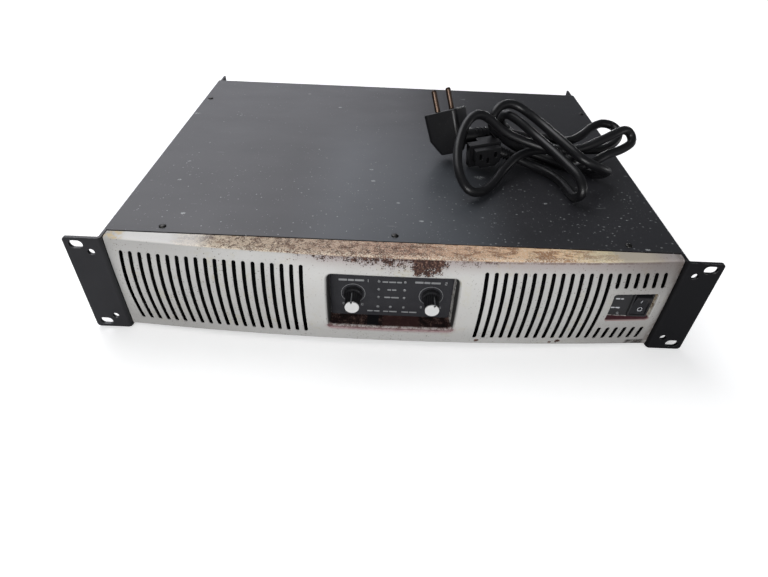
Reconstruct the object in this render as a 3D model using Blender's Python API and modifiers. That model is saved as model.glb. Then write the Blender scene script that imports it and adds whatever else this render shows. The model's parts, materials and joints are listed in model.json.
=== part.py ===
"""A two-unit rack power amplifier with its mains lead, built as an assembly of separate pieces.

Metres, +Z up. +X is to the right as seen from the front, and the front looks along -Y.
The origin is in the middle of the underside. Depths are counted from the front plane of the
rack ears, so deep(0) is that plane and a negative depth stands in front of it.
"""

import math

import bmesh
import bpy
from mathutils import Matrix, Vector

MM = 0.001
GAP = 0.3 * MM

# Rack standard: 19-inch width, two height units, slots for M6 screws.
RACK_WIDTH = 482.6 * MM
RACK_HEIGHT = 88.1 * MM
SLOT_SPACING_X = 465.1 * MM
SLOT_SPACING_Z = 76.2 * MM
SLOT_MIDDLE_Z = 44.05 * MM
SLOT_LENGTH = 10.3 * MM
SLOT_WIDTH = 7.0 * MM
EAR_HOLE_X = 223.2 * MM
EAR_HOLE_SPACING_Z = 63.5 * MM
EAR_HOLE_RADIUS = 2.65 * MM
EAR_CORNER = 2.5 * MM

# Enclosure.
FRONT_Y = -176.0 * MM
SIDE_INNER_X = 213.4 * MM
SIDE_SHEET = 2.0 * MM
EAR_SHEET = 2.5 * MM
BEND_RADIUS = 3.0 * MM
SIDE_REAR_DEPTH = 361.0 * MM
LID_HALF_WIDTH = 215.9 * MM
LID_TOP = 87.7 * MM
LID_SHEET = 1.2 * MM
LID_FRONT_DEPTH = 12.4 * MM
LID_REAR_DEPTH = 340.0 * MM
SIDE_TOP = LID_TOP - LID_SHEET - GAP
TRAY_SHEET = 1.5 * MM
TRAY_FLANGE = 20.0 * MM
INNER_HALF_WIDTH = SIDE_INNER_X - GAP
REAR_PANEL_DEPTH = 338.0 * MM
REAR_SHEET = 1.5 * MM
REAR_FACE = REAR_PANEL_DEPTH + REAR_SHEET

# Curved front panel: y of its crease and of its face are formulas of x and z, see below.
PANEL_HALF_WIDTH = 212.9 * MM
PANEL_LIP_DEPTH = 11.0 * MM
PANEL_END_START = 202.4 * MM
PANEL_END_FADE = 0.88
PANEL_SHEET = 1.2 * MM
CREASE_DEPTH = -7.4 * MM
PLAN_BOW = 0.24
PANEL_COLUMNS = 14
PANEL_ROWS = 8
VENT_FIRST_X = 67.4 * MM
VENT_PITCH = 7.0 * MM
VENT_COUNT = 20
VENT_WIDTH = 3.0 * MM
VENT_LOW = 11.7 * MM
VENT_HIGH = 79.4 * MM
SHORT_VENTS = 6
SHORT_UPPER = (67.0 * MM, 79.4 * MM)
SHORT_LOWER = (11.0 * MM, 26.3 * MM)

# Recesses in the front panel: (middle x, middle z, width, height, corner radius).
CONTROL_OPENING = (-0.3 * MM, 46.5 * MM, 100.6 * MM, 56.0 * MM, 5.5 * MM)
CONTROL_FUNNEL_INSET = 3.4 * MM
CONTROL_PLATE_DEPTH = 4.0 * MM
SWITCH_OPENING = (183.05 * MM, 48.5 * MM, 35.5 * MM, 27.6 * MM, 2.4 * MM)
SWITCH_FUNNEL_INSET = 1.0 * MM
SWITCH_PLATE_DEPTH = -1.0 * MM

# Level knobs.
KNOB_X = 30.5 * MM
KNOB_Z = 43.0 * MM
KNOB_SKIRT_RADIUS = 7.3 * MM
KNOB_NOSE_RADIUS = 5.6 * MM
KNOB_LENGTH = 16.4 * MM
KNOB_BASE_DEPTH = 3.4 * MM
CAP_LENGTH = 0.9 * MM
SHAFT_RADIUS = 2.8 * MM
SHAFT_LENGTH = 19.0 * MM
# How far each pointer stands from the top at rest, clockwise as seen from the front.
KNOB_TURN = {"left": math.radians(-8.0), "right": math.radians(23.0)}

# Indicator light guide: three rows of two, and one row of three below.
LIGHT_COLUMNS = (-10.6 * MM, 9.6 * MM)
LIGHT_ROWS = (55.7 * MM, 47.8 * MM, 40.0 * MM)
LIGHT_LOW_ROW = 30.0 * MM
LIGHT_MIDDLE_X = -0.7 * MM
LIGHT_RADIUS = 1.1 * MM

# Power rocker.
ROCKER_X = 191.6 * MM
ROCKER_Z = 48.5 * MM
ROCKER_FRAME_WIDTH = 15.2 * MM
ROCKER_FRAME_HEIGHT = 24.2 * MM
ROCKER_WIDTH = 11.8 * MM
ROCKER_HALF_HEIGHT = 9.6 * MM
ROCKER_PIVOT_DEPTH = 3.0 * MM
ROCKER_TILT = math.radians(8.0)
STANDBY_LIGHT = (177.0 * MM, 38.0 * MM)

# Lid screws: (x, depth).
LID_SCREWS = (
    (-174.8 * MM, 20.0 * MM),
    (0.0, 20.0 * MM),
    (176.8 * MM, 20.0 * MM),
    (-209.6 * MM, 280.0 * MM),
    (209.6 * MM, 280.0 * MM),
)
SCREW_RADIUS = 1.5 * MM
SCREW_HEAD_RADIUS = 3.2 * MM

# Rear: (x, z) of each fitting.
FAN_X = 61.0 * MM
FAN_Z = 44.0 * MM
FAN_SIZE = 80.0 * MM
FAN_THICKNESS = 25.0 * MM
FAN_BORE = 37.5 * MM
BLADES = 7
INPUT_SOCKETS = {"left": (-190.0 * MM, 64.0 * MM), "right": (-156.0 * MM, 64.0 * MM)}
LINK_SOCKETS = {"left": (-190.0 * MM, 26.0 * MM), "right": (-156.0 * MM, 26.0 * MM)}
SPEAKER_SOCKETS = {"left": (125.0 * MM, 64.0 * MM), "right": (125.0 * MM, 26.0 * MM)}
SOCKET_FLANGE = (26.0 * MM, 31.0 * MM, 2.0 * MM)
SOCKET_BARREL_RADIUS = 11.8 * MM
INLET = (180.0 * MM, 28.0 * MM)
INLET_BODY = (27.0 * MM, 20.0 * MM)
BREAKER = (180.0 * MM, 63.0 * MM)
MODE_SWITCH = (-122.0 * MM, 64.0 * MM)

# Mains lead, lying in a loose tangle on the lid.
CABLE_RADIUS = 3.6 * MM
CABLE_STEP = 6.0 * MM
PLUG_FACE = (42.5 * MM, 163.0 * MM, 130.0 * MM)
PLUG_UP = (-0.27, 0.36, 0.90)
PLUG_SIDE = (0.811, -0.366, 0.391)
PIN_RADIUS = 2.4 * MM
PIN_LENGTH = 19.0 * MM
PIN_HALF_SPACING = 9.5 * MM
PIN_ANGLE = 1.255
CONNECTOR_FACE = (82.5 * MM, 130.0 * MM, 100.9 * MM)
CONNECTOR_BACK = (-0.26, 0.966, 0.0)
CONNECTOR_SIDE = (0.966, 0.26, 0.09)


def deep(depth):
    """World y of a depth behind the rack ears' front plane."""
    return FRONT_Y + depth


def crease_depth(x):
    """Depth of the panel's top crease: a shallow bow, furthest forward in the middle."""
    return CREASE_DEPTH + PLAN_BOW * x * x


def face_depth(x, z):
    """Depth of the panel's outer face: the crease line plus an arch that fades at both ends."""
    fall = (LID_TOP - z) / LID_TOP
    arch = -41.1 * fall + 61.9 * fall**2 - 19.8 * fall**3
    into_end = max(0.0, abs(x) - PANEL_END_START) / (PANEL_HALF_WIDTH - PANEL_END_START)
    return crease_depth(x) + arch * MM * (1.0 - PANEL_END_FADE * into_end**2)


# ---------------------------------------------------------------- scene and materials


def clear_scene():
    for obj in list(bpy.data.objects):
        bpy.data.objects.remove(obj, do_unlink=True)


def new_collection(name):
    collection = bpy.data.collections.new(name)
    bpy.context.scene.collection.children.link(collection)
    return collection


def finish(name, color, roughness, metallic=0.0):
    """A plain Principled material."""
    material = bpy.data.materials.new(name)
    material.use_nodes = True
    shader = material.node_tree.nodes["Principled BSDF"]
    shader.inputs["Base Color"].default_value = (*color, 1.0)
    shader.inputs["Roughness"].default_value = roughness
    shader.inputs["Metallic"].default_value = metallic
    return material


def add_part(name, mesh, material=None):
    obj = bpy.data.objects.new(name, mesh)
    PARTS.objects.link(obj)
    if material:
        mesh.materials.clear()
        mesh.materials.append(material)
    return obj


def make_tool(obj):
    """Turns an object into a hidden tool for Boolean modifiers."""
    PARTS.objects.unlink(obj)
    TOOLS.objects.link(obj)
    obj.hide_render = True
    obj.display_type = "WIRE"
    return obj


def combine(target, tool, operation):
    make_tool(tool)
    modifier = target.modifiers.new(operation.lower(), "BOOLEAN")
    modifier.operation = operation
    modifier.solver = "EXACT"
    modifier.object = tool


def cut(target, tool):
    combine(target, tool, "DIFFERENCE")


def unite(target, tool):
    combine(target, tool, "UNION")


# ---------------------------------------------------------------- basic shapes


def box(name, low, high, material=None):
    """A box between two opposite corners."""
    low, high = Vector(low), Vector(high)
    work = bmesh.new()
    bmesh.ops.create_cube(work, size=1.0)
    bmesh.ops.scale(work, vec=high - low, verts=work.verts)
    bmesh.ops.translate(work, vec=(low + high) / 2, verts=work.verts)
    mesh = bpy.data.meshes.new(name)
    work.to_mesh(mesh)
    work.free()
    return add_part(name, mesh, material)


def rod(name, radius, start, end, material=None, segments=16, end_radius=None):
    """A cylinder or a cone between two points."""
    start, end = Vector(start), Vector(end)
    turn = (end - start).to_track_quat("Z", "Y").to_matrix().to_4x4()
    work = bmesh.new()
    bmesh.ops.create_cone(
        work,
        cap_ends=True,
        segments=segments,
        radius1=radius,
        radius2=radius if end_radius is None else end_radius,
        depth=(end - start).length,
        matrix=Matrix.Translation((start + end) / 2) @ turn,
    )
    mesh = bpy.data.meshes.new(name)
    work.to_mesh(mesh)
    work.free()
    return add_part(name, mesh, material)


def circle(radius, middle=(0.0, 0.0), points=16):
    """Points of a circle, anticlockwise."""
    angles = [2 * math.pi * i / points for i in range(points)]
    return [(middle[0] + radius * math.cos(a), middle[1] + radius * math.sin(a)) for a in angles]


def rectangle(width, height, middle=(0.0, 0.0), corner=0.0, steps=3):
    """A rectangle's outline, anticlockwise, with rounded corners when corner is above zero."""
    if corner <= 0.0:
        half = (width / 2, height / 2)
        signs = ((1, 1), (-1, 1), (-1, -1), (1, -1))
        return [(middle[0] + sx * half[0], middle[1] + sz * half[1]) for sx, sz in signs]
    points = []
    for quarter, (sx, sz) in enumerate(((1, 1), (-1, 1), (-1, -1), (1, -1))):
        cx = middle[0] + sx * (width / 2 - corner)
        cz = middle[1] + sz * (height / 2 - corner)
        for step in range(steps + 1):
            angle = math.pi / 2 * (quarter + step / steps)
            points.append((cx + corner * math.cos(angle), cz + corner * math.sin(angle)))
    return points


def stadium(middle, low, high, width, steps=4):
    """An upright slot with round ends between two heights."""
    radius = width / 2
    points = []
    for step in range(steps + 1):
        angle = math.pi * step / steps
        points.append((middle + radius * math.cos(angle), high - radius + radius * math.sin(angle)))
    for step in range(steps + 1):
        angle = math.pi * (1 + step / steps)
        points.append((middle + radius * math.cos(angle), low + radius + radius * math.sin(angle)))
    return points


# Local x, y, z of a flat outline, turned so that it is extruded along a world axis.
ALONG_X = Matrix(((0, 0, 1), (1, 0, 0), (0, 1, 0))).to_4x4()
ALONG_Y = Matrix(((1, 0, 0), (0, 0, -1), (0, 1, 0))).to_4x4()
ALONG_Z = Matrix.Identity(4)


def extruded(name, outlines, low, high, turn, material=None):
    """Flat outlines, holes included, extruded from low to high along the axis of turn."""
    curve = bpy.data.curves.new(name + "_outline", "CURVE")
    curve.dimensions = "2D"
    curve.fill_mode = "BOTH"
    curve.extrude = (high - low) / 2
    for outline in outlines:
        spline = curve.splines.new("POLY")
        spline.points.add(len(outline) - 1)
        for point, (u, v) in zip(spline.points, outline):
            point.co = (u, v, 0.0, 1.0)
        spline.use_cyclic_u = True
    holder = bpy.data.objects.new(name + "_outline", curve)
    PARTS.objects.link(holder)
    bpy.context.view_layer.update()
    evaluated = holder.evaluated_get(bpy.context.evaluated_depsgraph_get())
    mesh = bpy.data.meshes.new_from_object(evaluated)
    bpy.data.objects.remove(holder, do_unlink=True)
    direction = turn.to_3x3() @ Vector((0.0, 0.0, 1.0))
    middle = Vector([abs(part) for part in direction]) * (low + high) / 2
    work = bmesh.new()
    work.from_mesh(mesh)
    bmesh.ops.remove_doubles(work, verts=work.verts, dist=0.000005)
    bmesh.ops.transform(work, matrix=Matrix.Translation(middle) @ turn, verts=work.verts)
    bmesh.ops.recalc_face_normals(work, faces=work.faces)
    work.to_mesh(mesh)
    work.free()
    return add_part(name, mesh, material)


def turned(name, profile, place, facing, material, segments=20):
    """A profile of (radius, height) points, run down its outer side, turned about local Z."""
    mesh = bpy.data.meshes.new(name)
    points = [(radius, 0.0, height) for radius, height in profile]
    edges = [(i, i + 1) for i in range(len(points) - 1)]
    mesh.from_pydata(points, edges, [])
    obj = add_part(name, mesh, material)
    obj.location = place
    obj.rotation_euler = facing
    screw = obj.modifiers.new("turn", "SCREW")
    screw.axis = "Z"
    screw.steps = segments
    screw.render_steps = segments
    screw.use_merge_vertices = True
    screw.merge_threshold = 0.00001
    return obj


def placed(obj, frame):
    """Moves an object's surface from a local frame into the assembly."""
    obj.data.transform(frame)
    return obj


# Rotations that point local +Z to the front, to the rear and up.
TO_FRONT = (math.pi / 2, 0.0, 0.0)
TO_REAR = (-math.pi / 2, 0.0, 0.0)
UPWARD = (0.0, 0.0, 0.0)


# ---------------------------------------------------------------- enclosure


def base_tray(steel):
    """The floor sheet with its two upturned sides."""
    width = INNER_HALF_WIDTH
    inner = width - TRAY_SHEET
    section = [
        (-width, 0.0),
        (width, 0.0),
        (width, TRAY_FLANGE),
        (inner, TRAY_FLANGE),
        (inner, TRAY_SHEET),
        (-inner, TRAY_SHEET),
        (-inner, TRAY_FLANGE),
        (-width, TRAY_FLANGE),
    ]
    start, end = deep(LID_FRONT_DEPTH), deep(REAR_PANEL_DEPTH - GAP)
    extruded("base_tray", [section], start, end, ALONG_Y, steel)


def ear_openings(side):
    """The two rack slots and the two round holes of one ear."""
    outlines = []
    for up in (-1, 1):
        slot_z = SLOT_MIDDLE_Z + up * SLOT_SPACING_Z / 2
        slot_x = side * SLOT_SPACING_X / 2
        size = (SLOT_LENGTH, SLOT_WIDTH)
        outlines.append(rectangle(*size, (slot_x, slot_z), corner=SLOT_WIDTH * 0.49))
        hole_z = SLOT_MIDDLE_Z + up * EAR_HOLE_SPACING_Z / 2
        outlines.append(circle(EAR_HOLE_RADIUS, (side * EAR_HOLE_X, hole_z), 12))
    return outlines


def ear_corner_waste(side, top):
    """What is cut away outside the rounded upper (or lower) outer corner of one ear."""
    up = 1 if top else -1
    edge = RACK_WIDTH / 2
    centre_x = edge - EAR_CORNER
    centre_z = (RACK_HEIGHT if top else 0.0) - up * EAR_CORNER
    reach = EAR_CORNER + 1.0 * MM
    points = [(edge + 1.0 * MM, centre_z + up * reach), (centre_x, centre_z + up * reach)]
    for step in range(5):
        angle = math.pi / 2 * (1 - step / 4)
        points.append((centre_x + EAR_CORNER * math.cos(angle), centre_z + up * EAR_CORNER * math.sin(angle)))
    points.append((edge + 1.0 * MM, centre_z))
    return [(side * x, z) for x, z in points]


def side_plate(name, side, steel):
    """A side sheet whose front end is bent outwards into the rack ear."""
    outer = SIDE_INNER_X + SIDE_SHEET
    edge = RACK_WIDTH / 2
    plan = [(SIDE_INNER_X, deep(SIDE_REAR_DEPTH)), (SIDE_INNER_X, deep(BEND_RADIUS))]
    for step in range(1, 4):
        angle = math.pi / 2 * step / 3
        along = SIDE_INNER_X + BEND_RADIUS * (1 - math.cos(angle))
        plan.append((along, deep(BEND_RADIUS * (1 - math.sin(angle)))))
    plan += [(edge, deep(0.0)), (edge, deep(EAR_SHEET))]
    plan += [(outer + 1.0 * MM, deep(EAR_SHEET)), (outer, deep(EAR_SHEET + 1.0 * MM))]
    plan.append((outer, deep(SIDE_REAR_DEPTH)))
    plan = [(side * x, y) for x, y in plan]
    plate = extruded(name, [plan], 0.0, RACK_HEIGHT, ALONG_Z, steel)
    reach = 30.0 * MM
    low = (side * SIDE_INNER_X - reach, deep(LID_FRONT_DEPTH - GAP), SIDE_TOP)
    high = (side * SIDE_INNER_X + reach, deep(SIDE_REAR_DEPTH) + reach, RACK_HEIGHT + reach)
    cut(plate, box(name + "_step", low, high))
    openings = ear_openings(side) + [ear_corner_waste(side, top) for top in (True, False)]
    cutter = extruded(name + "_openings", openings, deep(-reach), deep(LID_FRONT_DEPTH), ALONG_Y)
    cut(plate, cutter)
    shelf_out = side * (SIDE_INNER_X + SIDE_SHEET / 2)
    shelf_in = side * (SIDE_INNER_X - 9.0 * MM)
    shelf_low = (min(shelf_in, shelf_out), deep(60.0 * MM), SIDE_TOP - 1.5 * MM)
    shelf_high = (max(shelf_in, shelf_out), deep(330.0 * MM), SIDE_TOP)
    unite(plate, box(name + "_shelf", shelf_low, shelf_high))
    x, depth = [screw for screw in LID_SCREWS if screw[1] > 100 * MM and screw[0] * side > 0][0]
    low = (x, deep(depth), SIDE_TOP - 5.0 * MM)
    high = (x, deep(depth), SIDE_TOP + 5.0 * MM)
    cut(plate, rod(name + "_screw_hole", SCREW_RADIUS + GAP, low, high, segments=8))


def top_cover(paint):
    width = 2 * LID_HALF_WIDTH
    length = LID_REAR_DEPTH - LID_FRONT_DEPTH
    middle = (0.0, deep((LID_FRONT_DEPTH + LID_REAR_DEPTH) / 2))
    outlines = [rectangle(width, length, middle)]
    for x, depth in LID_SCREWS:
        outlines.append(circle(SCREW_RADIUS + GAP, (x, deep(depth)), 8))
    extruded("top_cover", outlines, LID_TOP - LID_SHEET, LID_TOP, ALONG_Z, paint)


def lid_screws(metal):
    """Pan-head screws: a domed head on the lid and a plain shank below it."""
    head = 1.3 * MM
    for number, (x, depth) in enumerate(LID_SCREWS, 1):
        profile = [
            (0.0, head),
            (SCREW_HEAD_RADIUS * 0.7, head * 0.8),
            (SCREW_HEAD_RADIUS, 0.05 * MM),
            (SCREW_RADIUS, 0.05 * MM),
            (SCREW_RADIUS, -6.0 * MM),
            (0.0, -6.6 * MM),
        ]
        place = (x, deep(depth), LID_TOP)
        turned(f"lid_screw_{number}", profile, place, UPWARD, metal, segments=10)


# ---------------------------------------------------------------- front panel


def panel_profile(x):
    """Outer surface of the front panel at one x, from its hidden rear flange to its rear bottom lip."""
    points = [
        (27.0 * MM, LID_TOP - 1.5 * MM),
        (12.4 * MM, LID_TOP - 1.5 * MM),
        (11.9 * MM, LID_TOP),
        (crease_depth(x) + 0.8 * MM, LID_TOP),
    ]
    bottom = 4.6 * MM - 2.4 * MM * (x / PANEL_HALF_WIDTH) ** 2
    top = LID_TOP - 0.7 * MM
    for row in range(PANEL_ROWS + 1):
        z = top + (bottom - top) * row / PANEL_ROWS
        points.append((face_depth(x, z), z))
    points.append((face_depth(x, bottom) + 2.0 * MM, bottom - 1.6 * MM))
    points.append((PANEL_LIP_DEPTH, bottom - 1.6 * MM))
    return points


def panel_sheet(paint):
    """The bowed and arched sheet, before its openings."""
    work = bmesh.new()
    places = [PANEL_END_START * (2 * i / PANEL_COLUMNS - 1) for i in range(PANEL_COLUMNS + 1)]
    ends = ((PANEL_END_START + PANEL_HALF_WIDTH) / 2, PANEL_HALF_WIDTH)
    places = [-x for x in reversed(ends)] + places + list(ends)
    columns = []
    for x in places:
        columns.append([work.verts.new((x, deep(d), z)) for d, z in panel_profile(x)])
    for left, right in zip(columns, columns[1:]):
        for row in range(len(left) - 1):
            work.faces.new((left[row + 1], right[row + 1], right[row], left[row]))
    mesh = bpy.data.meshes.new("front_panel")
    work.to_mesh(mesh)
    work.free()
    panel = add_part("front_panel", mesh, paint)
    shell = panel.modifiers.new("sheet", "SOLIDIFY")
    shell.thickness = PANEL_SHEET
    shell.offset = -1.0
    shell.use_even_offset = True
    return panel


def vent_outlines():
    """Cooling slots on both sides; the outer ones on the right are split by the switch recess."""
    outlines = []
    for side in (-1, 1):
        for number in range(VENT_COUNT):
            x = side * (VENT_FIRST_X + VENT_PITCH * number)
            split = side > 0 and number >= VENT_COUNT - SHORT_VENTS
            spans = (SHORT_UPPER, SHORT_LOWER) if split else ((VENT_LOW, VENT_HIGH),)
            for low, high in spans:
                outlines.append(stadium(x, low, high, VENT_WIDTH, steps=2))
    return outlines


def opening_outline(opening, grow=0.0, steps=4):
    x, z, width, height, corner = opening
    return rectangle(width + 2 * grow, height + 2 * grow, (x, z), corner + grow, steps)


def funnel(name, opening, inset, end_depth):
    """The inward wall round an opening, from just under the panel's face to end_depth."""
    work = bmesh.new()
    rings = []
    for grow, shrink, at_face in (
        (PANEL_SHEET, 0.0, True),
        (0.0, 0.0, True),
        (0.0, inset, False),
        (PANEL_SHEET, inset, False),
    ):
        ring = []
        for x, z in opening_outline(opening, grow - shrink):
            depth = face_depth(x, z) + 0.35 * MM if at_face else end_depth
            ring.append(work.verts.new((x, deep(depth), z)))
        rings.append(ring)
    count = len(rings[0])
    for first, second in zip(rings, rings[1:] + rings[:1]):
        for i in range(count):
            j = (i + 1) % count
            work.faces.new((first[i], first[j], second[j], second[i]))
    bmesh.ops.recalc_face_normals(work, faces=work.faces)
    mesh = bpy.data.meshes.new(name)
    work.to_mesh(mesh)
    work.free()
    return add_part(name, mesh)


def front_panel(paint):
    panel = panel_sheet(paint)
    openings = [opening_outline(CONTROL_OPENING), opening_outline(SWITCH_OPENING)]
    reach = (deep(-30.0 * MM), deep(10.0 * MM))
    cut(panel, extruded("panel_vents", vent_outlines() + openings, *reach, ALONG_Y))
    end = CONTROL_PLATE_DEPTH - 0.4 * MM
    unite(panel, funnel("control_funnel", CONTROL_OPENING, CONTROL_FUNNEL_INSET, end))
    end = SWITCH_PLATE_DEPTH - 0.4 * MM
    unite(panel, funnel("switch_funnel", SWITCH_OPENING, SWITCH_FUNNEL_INSET, end))
    holes = [circle(SCREW_RADIUS + GAP, (x, deep(d)), 8) for x, d in LID_SCREWS[:3]]
    flange = (LID_TOP - 8.0 * MM, LID_TOP + 2.0 * MM)
    cut(panel, extruded("flange_holes", holes, *flange, ALONG_Z))


def light_places():
    places = [(x, z) for z in LIGHT_ROWS for x in LIGHT_COLUMNS]
    low_row = (LIGHT_COLUMNS[0], LIGHT_MIDDLE_X, LIGHT_COLUMNS[1])
    return places + [(x, LIGHT_LOW_ROW) for x in low_row]


def control_plate(gloss):
    x, z, width, height, corner = CONTROL_OPENING
    outlines = [rectangle(width + 5.0 * MM, height + 5.0 * MM, (x, z), corner)]
    for side in (-1, 1):
        outlines.append(circle(4.0 * MM, (side * KNOB_X, KNOB_Z), 16))
    for place in light_places():
        outlines.append(circle(LIGHT_RADIUS + GAP, place, 8))
    start = deep(CONTROL_PLATE_DEPTH)
    extruded("control_plate", outlines, start, start + 2.0 * MM, ALONG_Y, gloss)


def light_guide(clear):
    """A carrier strip with nine pins that reach the front of the control plate."""
    start = deep(CONTROL_PLATE_DEPTH + 5.0 * MM)
    low = (LIGHT_COLUMNS[0] - 3.0 * MM, start, LIGHT_LOW_ROW - 3.0 * MM)
    high = (LIGHT_COLUMNS[1] + 3.0 * MM, start + 2.0 * MM, LIGHT_ROWS[0] + 3.0 * MM)
    carrier = box("led_light_guide", low, high, clear)
    pins = [circle(LIGHT_RADIUS, place, 8) for place in light_places()]
    end = start + 1.0 * MM
    unite(carrier, extruded("guide_pins", pins, deep(CONTROL_PLATE_DEPTH), end, ALONG_Y))


def control_board(board):
    low = (-46.0 * MM, deep(24.0 * MM), 20.0 * MM)
    high = (46.0 * MM, deep(25.6 * MM), 73.0 * MM)
    box("control_board", low, high, board)


def switch_plate(plastic):
    x, z, width, height, corner = SWITCH_OPENING
    outlines = [rectangle(width + 5.0 * MM, height + 5.0 * MM, (x, z))]
    size = (ROCKER_FRAME_WIDTH - 1.4 * MM, ROCKER_FRAME_HEIGHT - 2.0 * MM)
    outlines.append(rectangle(*size, (ROCKER_X, ROCKER_Z)))
    outlines.append(circle(1.7 * MM, STANDBY_LIGHT, 10))
    start = deep(SWITCH_PLATE_DEPTH)
    extruded("switch_plate", outlines, start, start + 1.5 * MM, ALONG_Y, plastic)


def standby_light(lens):
    x, z = STANDBY_LIGHT
    profile = [
        (0.0, 1.0 * MM),
        (0.9 * MM, 0.7 * MM),
        (1.3 * MM, 0.0),
        (1.3 * MM, -2.2 * MM),
        (1.9 * MM, -2.2 * MM),
        (1.9 * MM, -6.0 * MM),
        (0.0, -6.0 * MM),
    ]
    place = (x, deep(SWITCH_PLATE_DEPTH), z)
    turned("standby_light", profile, place, TO_FRONT, lens, segments=10)


def filter_pads(foam):
    """Dark foam behind the slots; the right one is pierced for the switch."""
    front, back = deep(6.0 * MM), deep(10.0 * MM)
    inner, outer = VENT_FIRST_X - 5.0 * MM, VENT_FIRST_X + VENT_PITCH * VENT_COUNT
    size = (outer - inner, 76.0 * MM)
    for name, side in (("filter_left", -1), ("filter_right", 1)):
        outlines = [rectangle(*size, (side * (inner + outer) / 2, 43.0 * MM))]
        if side > 0:
            hole = (ROCKER_FRAME_WIDTH + 4.0 * MM, ROCKER_FRAME_HEIGHT + 4.0 * MM)
            outlines.append(rectangle(*hole, (ROCKER_X, ROCKER_Z)))
        extruded(name, outlines, front, back, ALONG_Y, foam)


# ---------------------------------------------------------------- controls


def knob(name, side, turn, plastic):
    """A knob body with a skirt, a bore for its shaft and a pointer groove."""
    step = KNOB_LENGTH - CAP_LENGTH - GAP
    profile = [
        (0.0, step),
        (KNOB_NOSE_RADIUS, step),
        (5.9 * MM, 5.0 * MM),
        (6.7 * MM, 3.2 * MM),
        (KNOB_SKIRT_RADIUS, 2.6 * MM),
        (KNOB_SKIRT_RADIUS, 0.0),
        (SHAFT_RADIUS + GAP, 0.0),
        (SHAFT_RADIUS + GAP, 11.0 * MM),
        (0.0, 11.0 * MM),
    ]
    place = (side * KNOB_X, deep(KNOB_BASE_DEPTH), KNOB_Z)
    body = turned(name, profile, place, TO_FRONT, plastic, segments=24)
    low = (-0.6 * MM, -20.0 * MM, KNOB_NOSE_RADIUS - 0.9 * MM)
    high = (0.6 * MM, -4.5 * MM, KNOB_NOSE_RADIUS + 4.0 * MM)
    frame = Matrix.Translation(place) @ Matrix.Rotation(turn, 4, "Y")
    cut(body, placed(box(name + "_groove", low, high), frame))


def knob_cap(name, side, turn, silver):
    """The disc on the knob's nose, with a notch at its pointer."""
    radius = KNOB_NOSE_RADIUS - 0.1 * MM
    half_notch = 0.75 * MM
    notch = math.asin(half_notch / radius)
    sweep = 2 * math.pi - 2 * notch
    outline = []
    for step in range(21):
        angle = math.pi / 2 + notch + sweep * step / 20
        outline.append((radius * math.cos(angle), radius * math.sin(angle)))
    outline += [(half_notch, radius - 1.3 * MM), (-half_notch, radius - 1.3 * MM)]
    across, up = math.cos(turn), math.sin(turn)
    outline = [(x * across + z * up, z * across - x * up) for x, z in outline]
    outline = [(side * KNOB_X + x, KNOB_Z + z) for x, z in outline]
    front = deep(KNOB_BASE_DEPTH - KNOB_LENGTH)
    cap = extruded(name, [outline], front, front + CAP_LENGTH, ALONG_Y, silver)
    place_origin(cap, (side * KNOB_X, deep(KNOB_BASE_DEPTH), KNOB_Z))


def place_origin(obj, place):
    """Moves an object's origin without moving its surface."""
    obj.data.transform(Matrix.Translation(-Vector(place)))
    obj.location = place


def potentiometer(name, side, metal):
    """Bushing and can, with a bore for the shaft."""
    bore = SHAFT_RADIUS + GAP
    profile = [
        (bore, 8.6 * MM),
        (3.6 * MM, 8.6 * MM),
        (3.6 * MM, 0.0),
        (8.0 * MM, 0.0),
        (8.0 * MM, -9.0 * MM),
        (0.0, -9.0 * MM),
        (0.0, -3.0 * MM),
        (bore, -3.0 * MM),
        (bore, 8.6 * MM),
    ]
    place = (side * KNOB_X, deep(CONTROL_PLATE_DEPTH + 10.0 * MM), KNOB_Z)
    turned(name, profile, place, TO_FRONT, metal, segments=16)


def pot_shaft(name, side, metal):
    start = deep(KNOB_BASE_DEPTH - 9.0 * MM)
    low = (side * KNOB_X, start, KNOB_Z)
    high = (side * KNOB_X, start + SHAFT_LENGTH, KNOB_Z)
    shaft = rod(name, SHAFT_RADIUS, low, high, metal, segments=16)
    place_origin(shaft, (side * KNOB_X, deep(KNOB_BASE_DEPTH), KNOB_Z))


def rocker_housing(plastic):
    """Frame in front of the switch plate and a box with an open front behind it."""
    width, height = ROCKER_FRAME_WIDTH, ROCKER_FRAME_HEIGHT
    front = deep(SWITCH_PLATE_DEPTH) - 1.5 * MM
    low = (ROCKER_X - width / 2, front, ROCKER_Z - height / 2)
    high = (ROCKER_X + width / 2, deep(SWITCH_PLATE_DEPTH) - GAP, ROCKER_Z + height / 2)
    housing = box("rocker_housing", low, high, plastic)
    inner = (width / 2 - 1.0 * MM, height / 2 - 1.4 * MM)
    low = (ROCKER_X - inner[0], front + 0.5 * MM, ROCKER_Z - inner[1])
    high = (ROCKER_X + inner[0], deep(20.0 * MM), ROCKER_Z + inner[1])
    unite(housing, box("rocker_case", low, high))
    half_width = ROCKER_WIDTH / 2 + 0.4 * MM
    half_height = ROCKER_HALF_HEIGHT + 1.0 * MM
    low = (ROCKER_X - half_width, front - 5.0 * MM, ROCKER_Z - half_height)
    high = (ROCKER_X + half_width, deep(15.0 * MM), ROCKER_Z + half_height)
    cut(housing, box("rocker_cavity", low, high))


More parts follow.
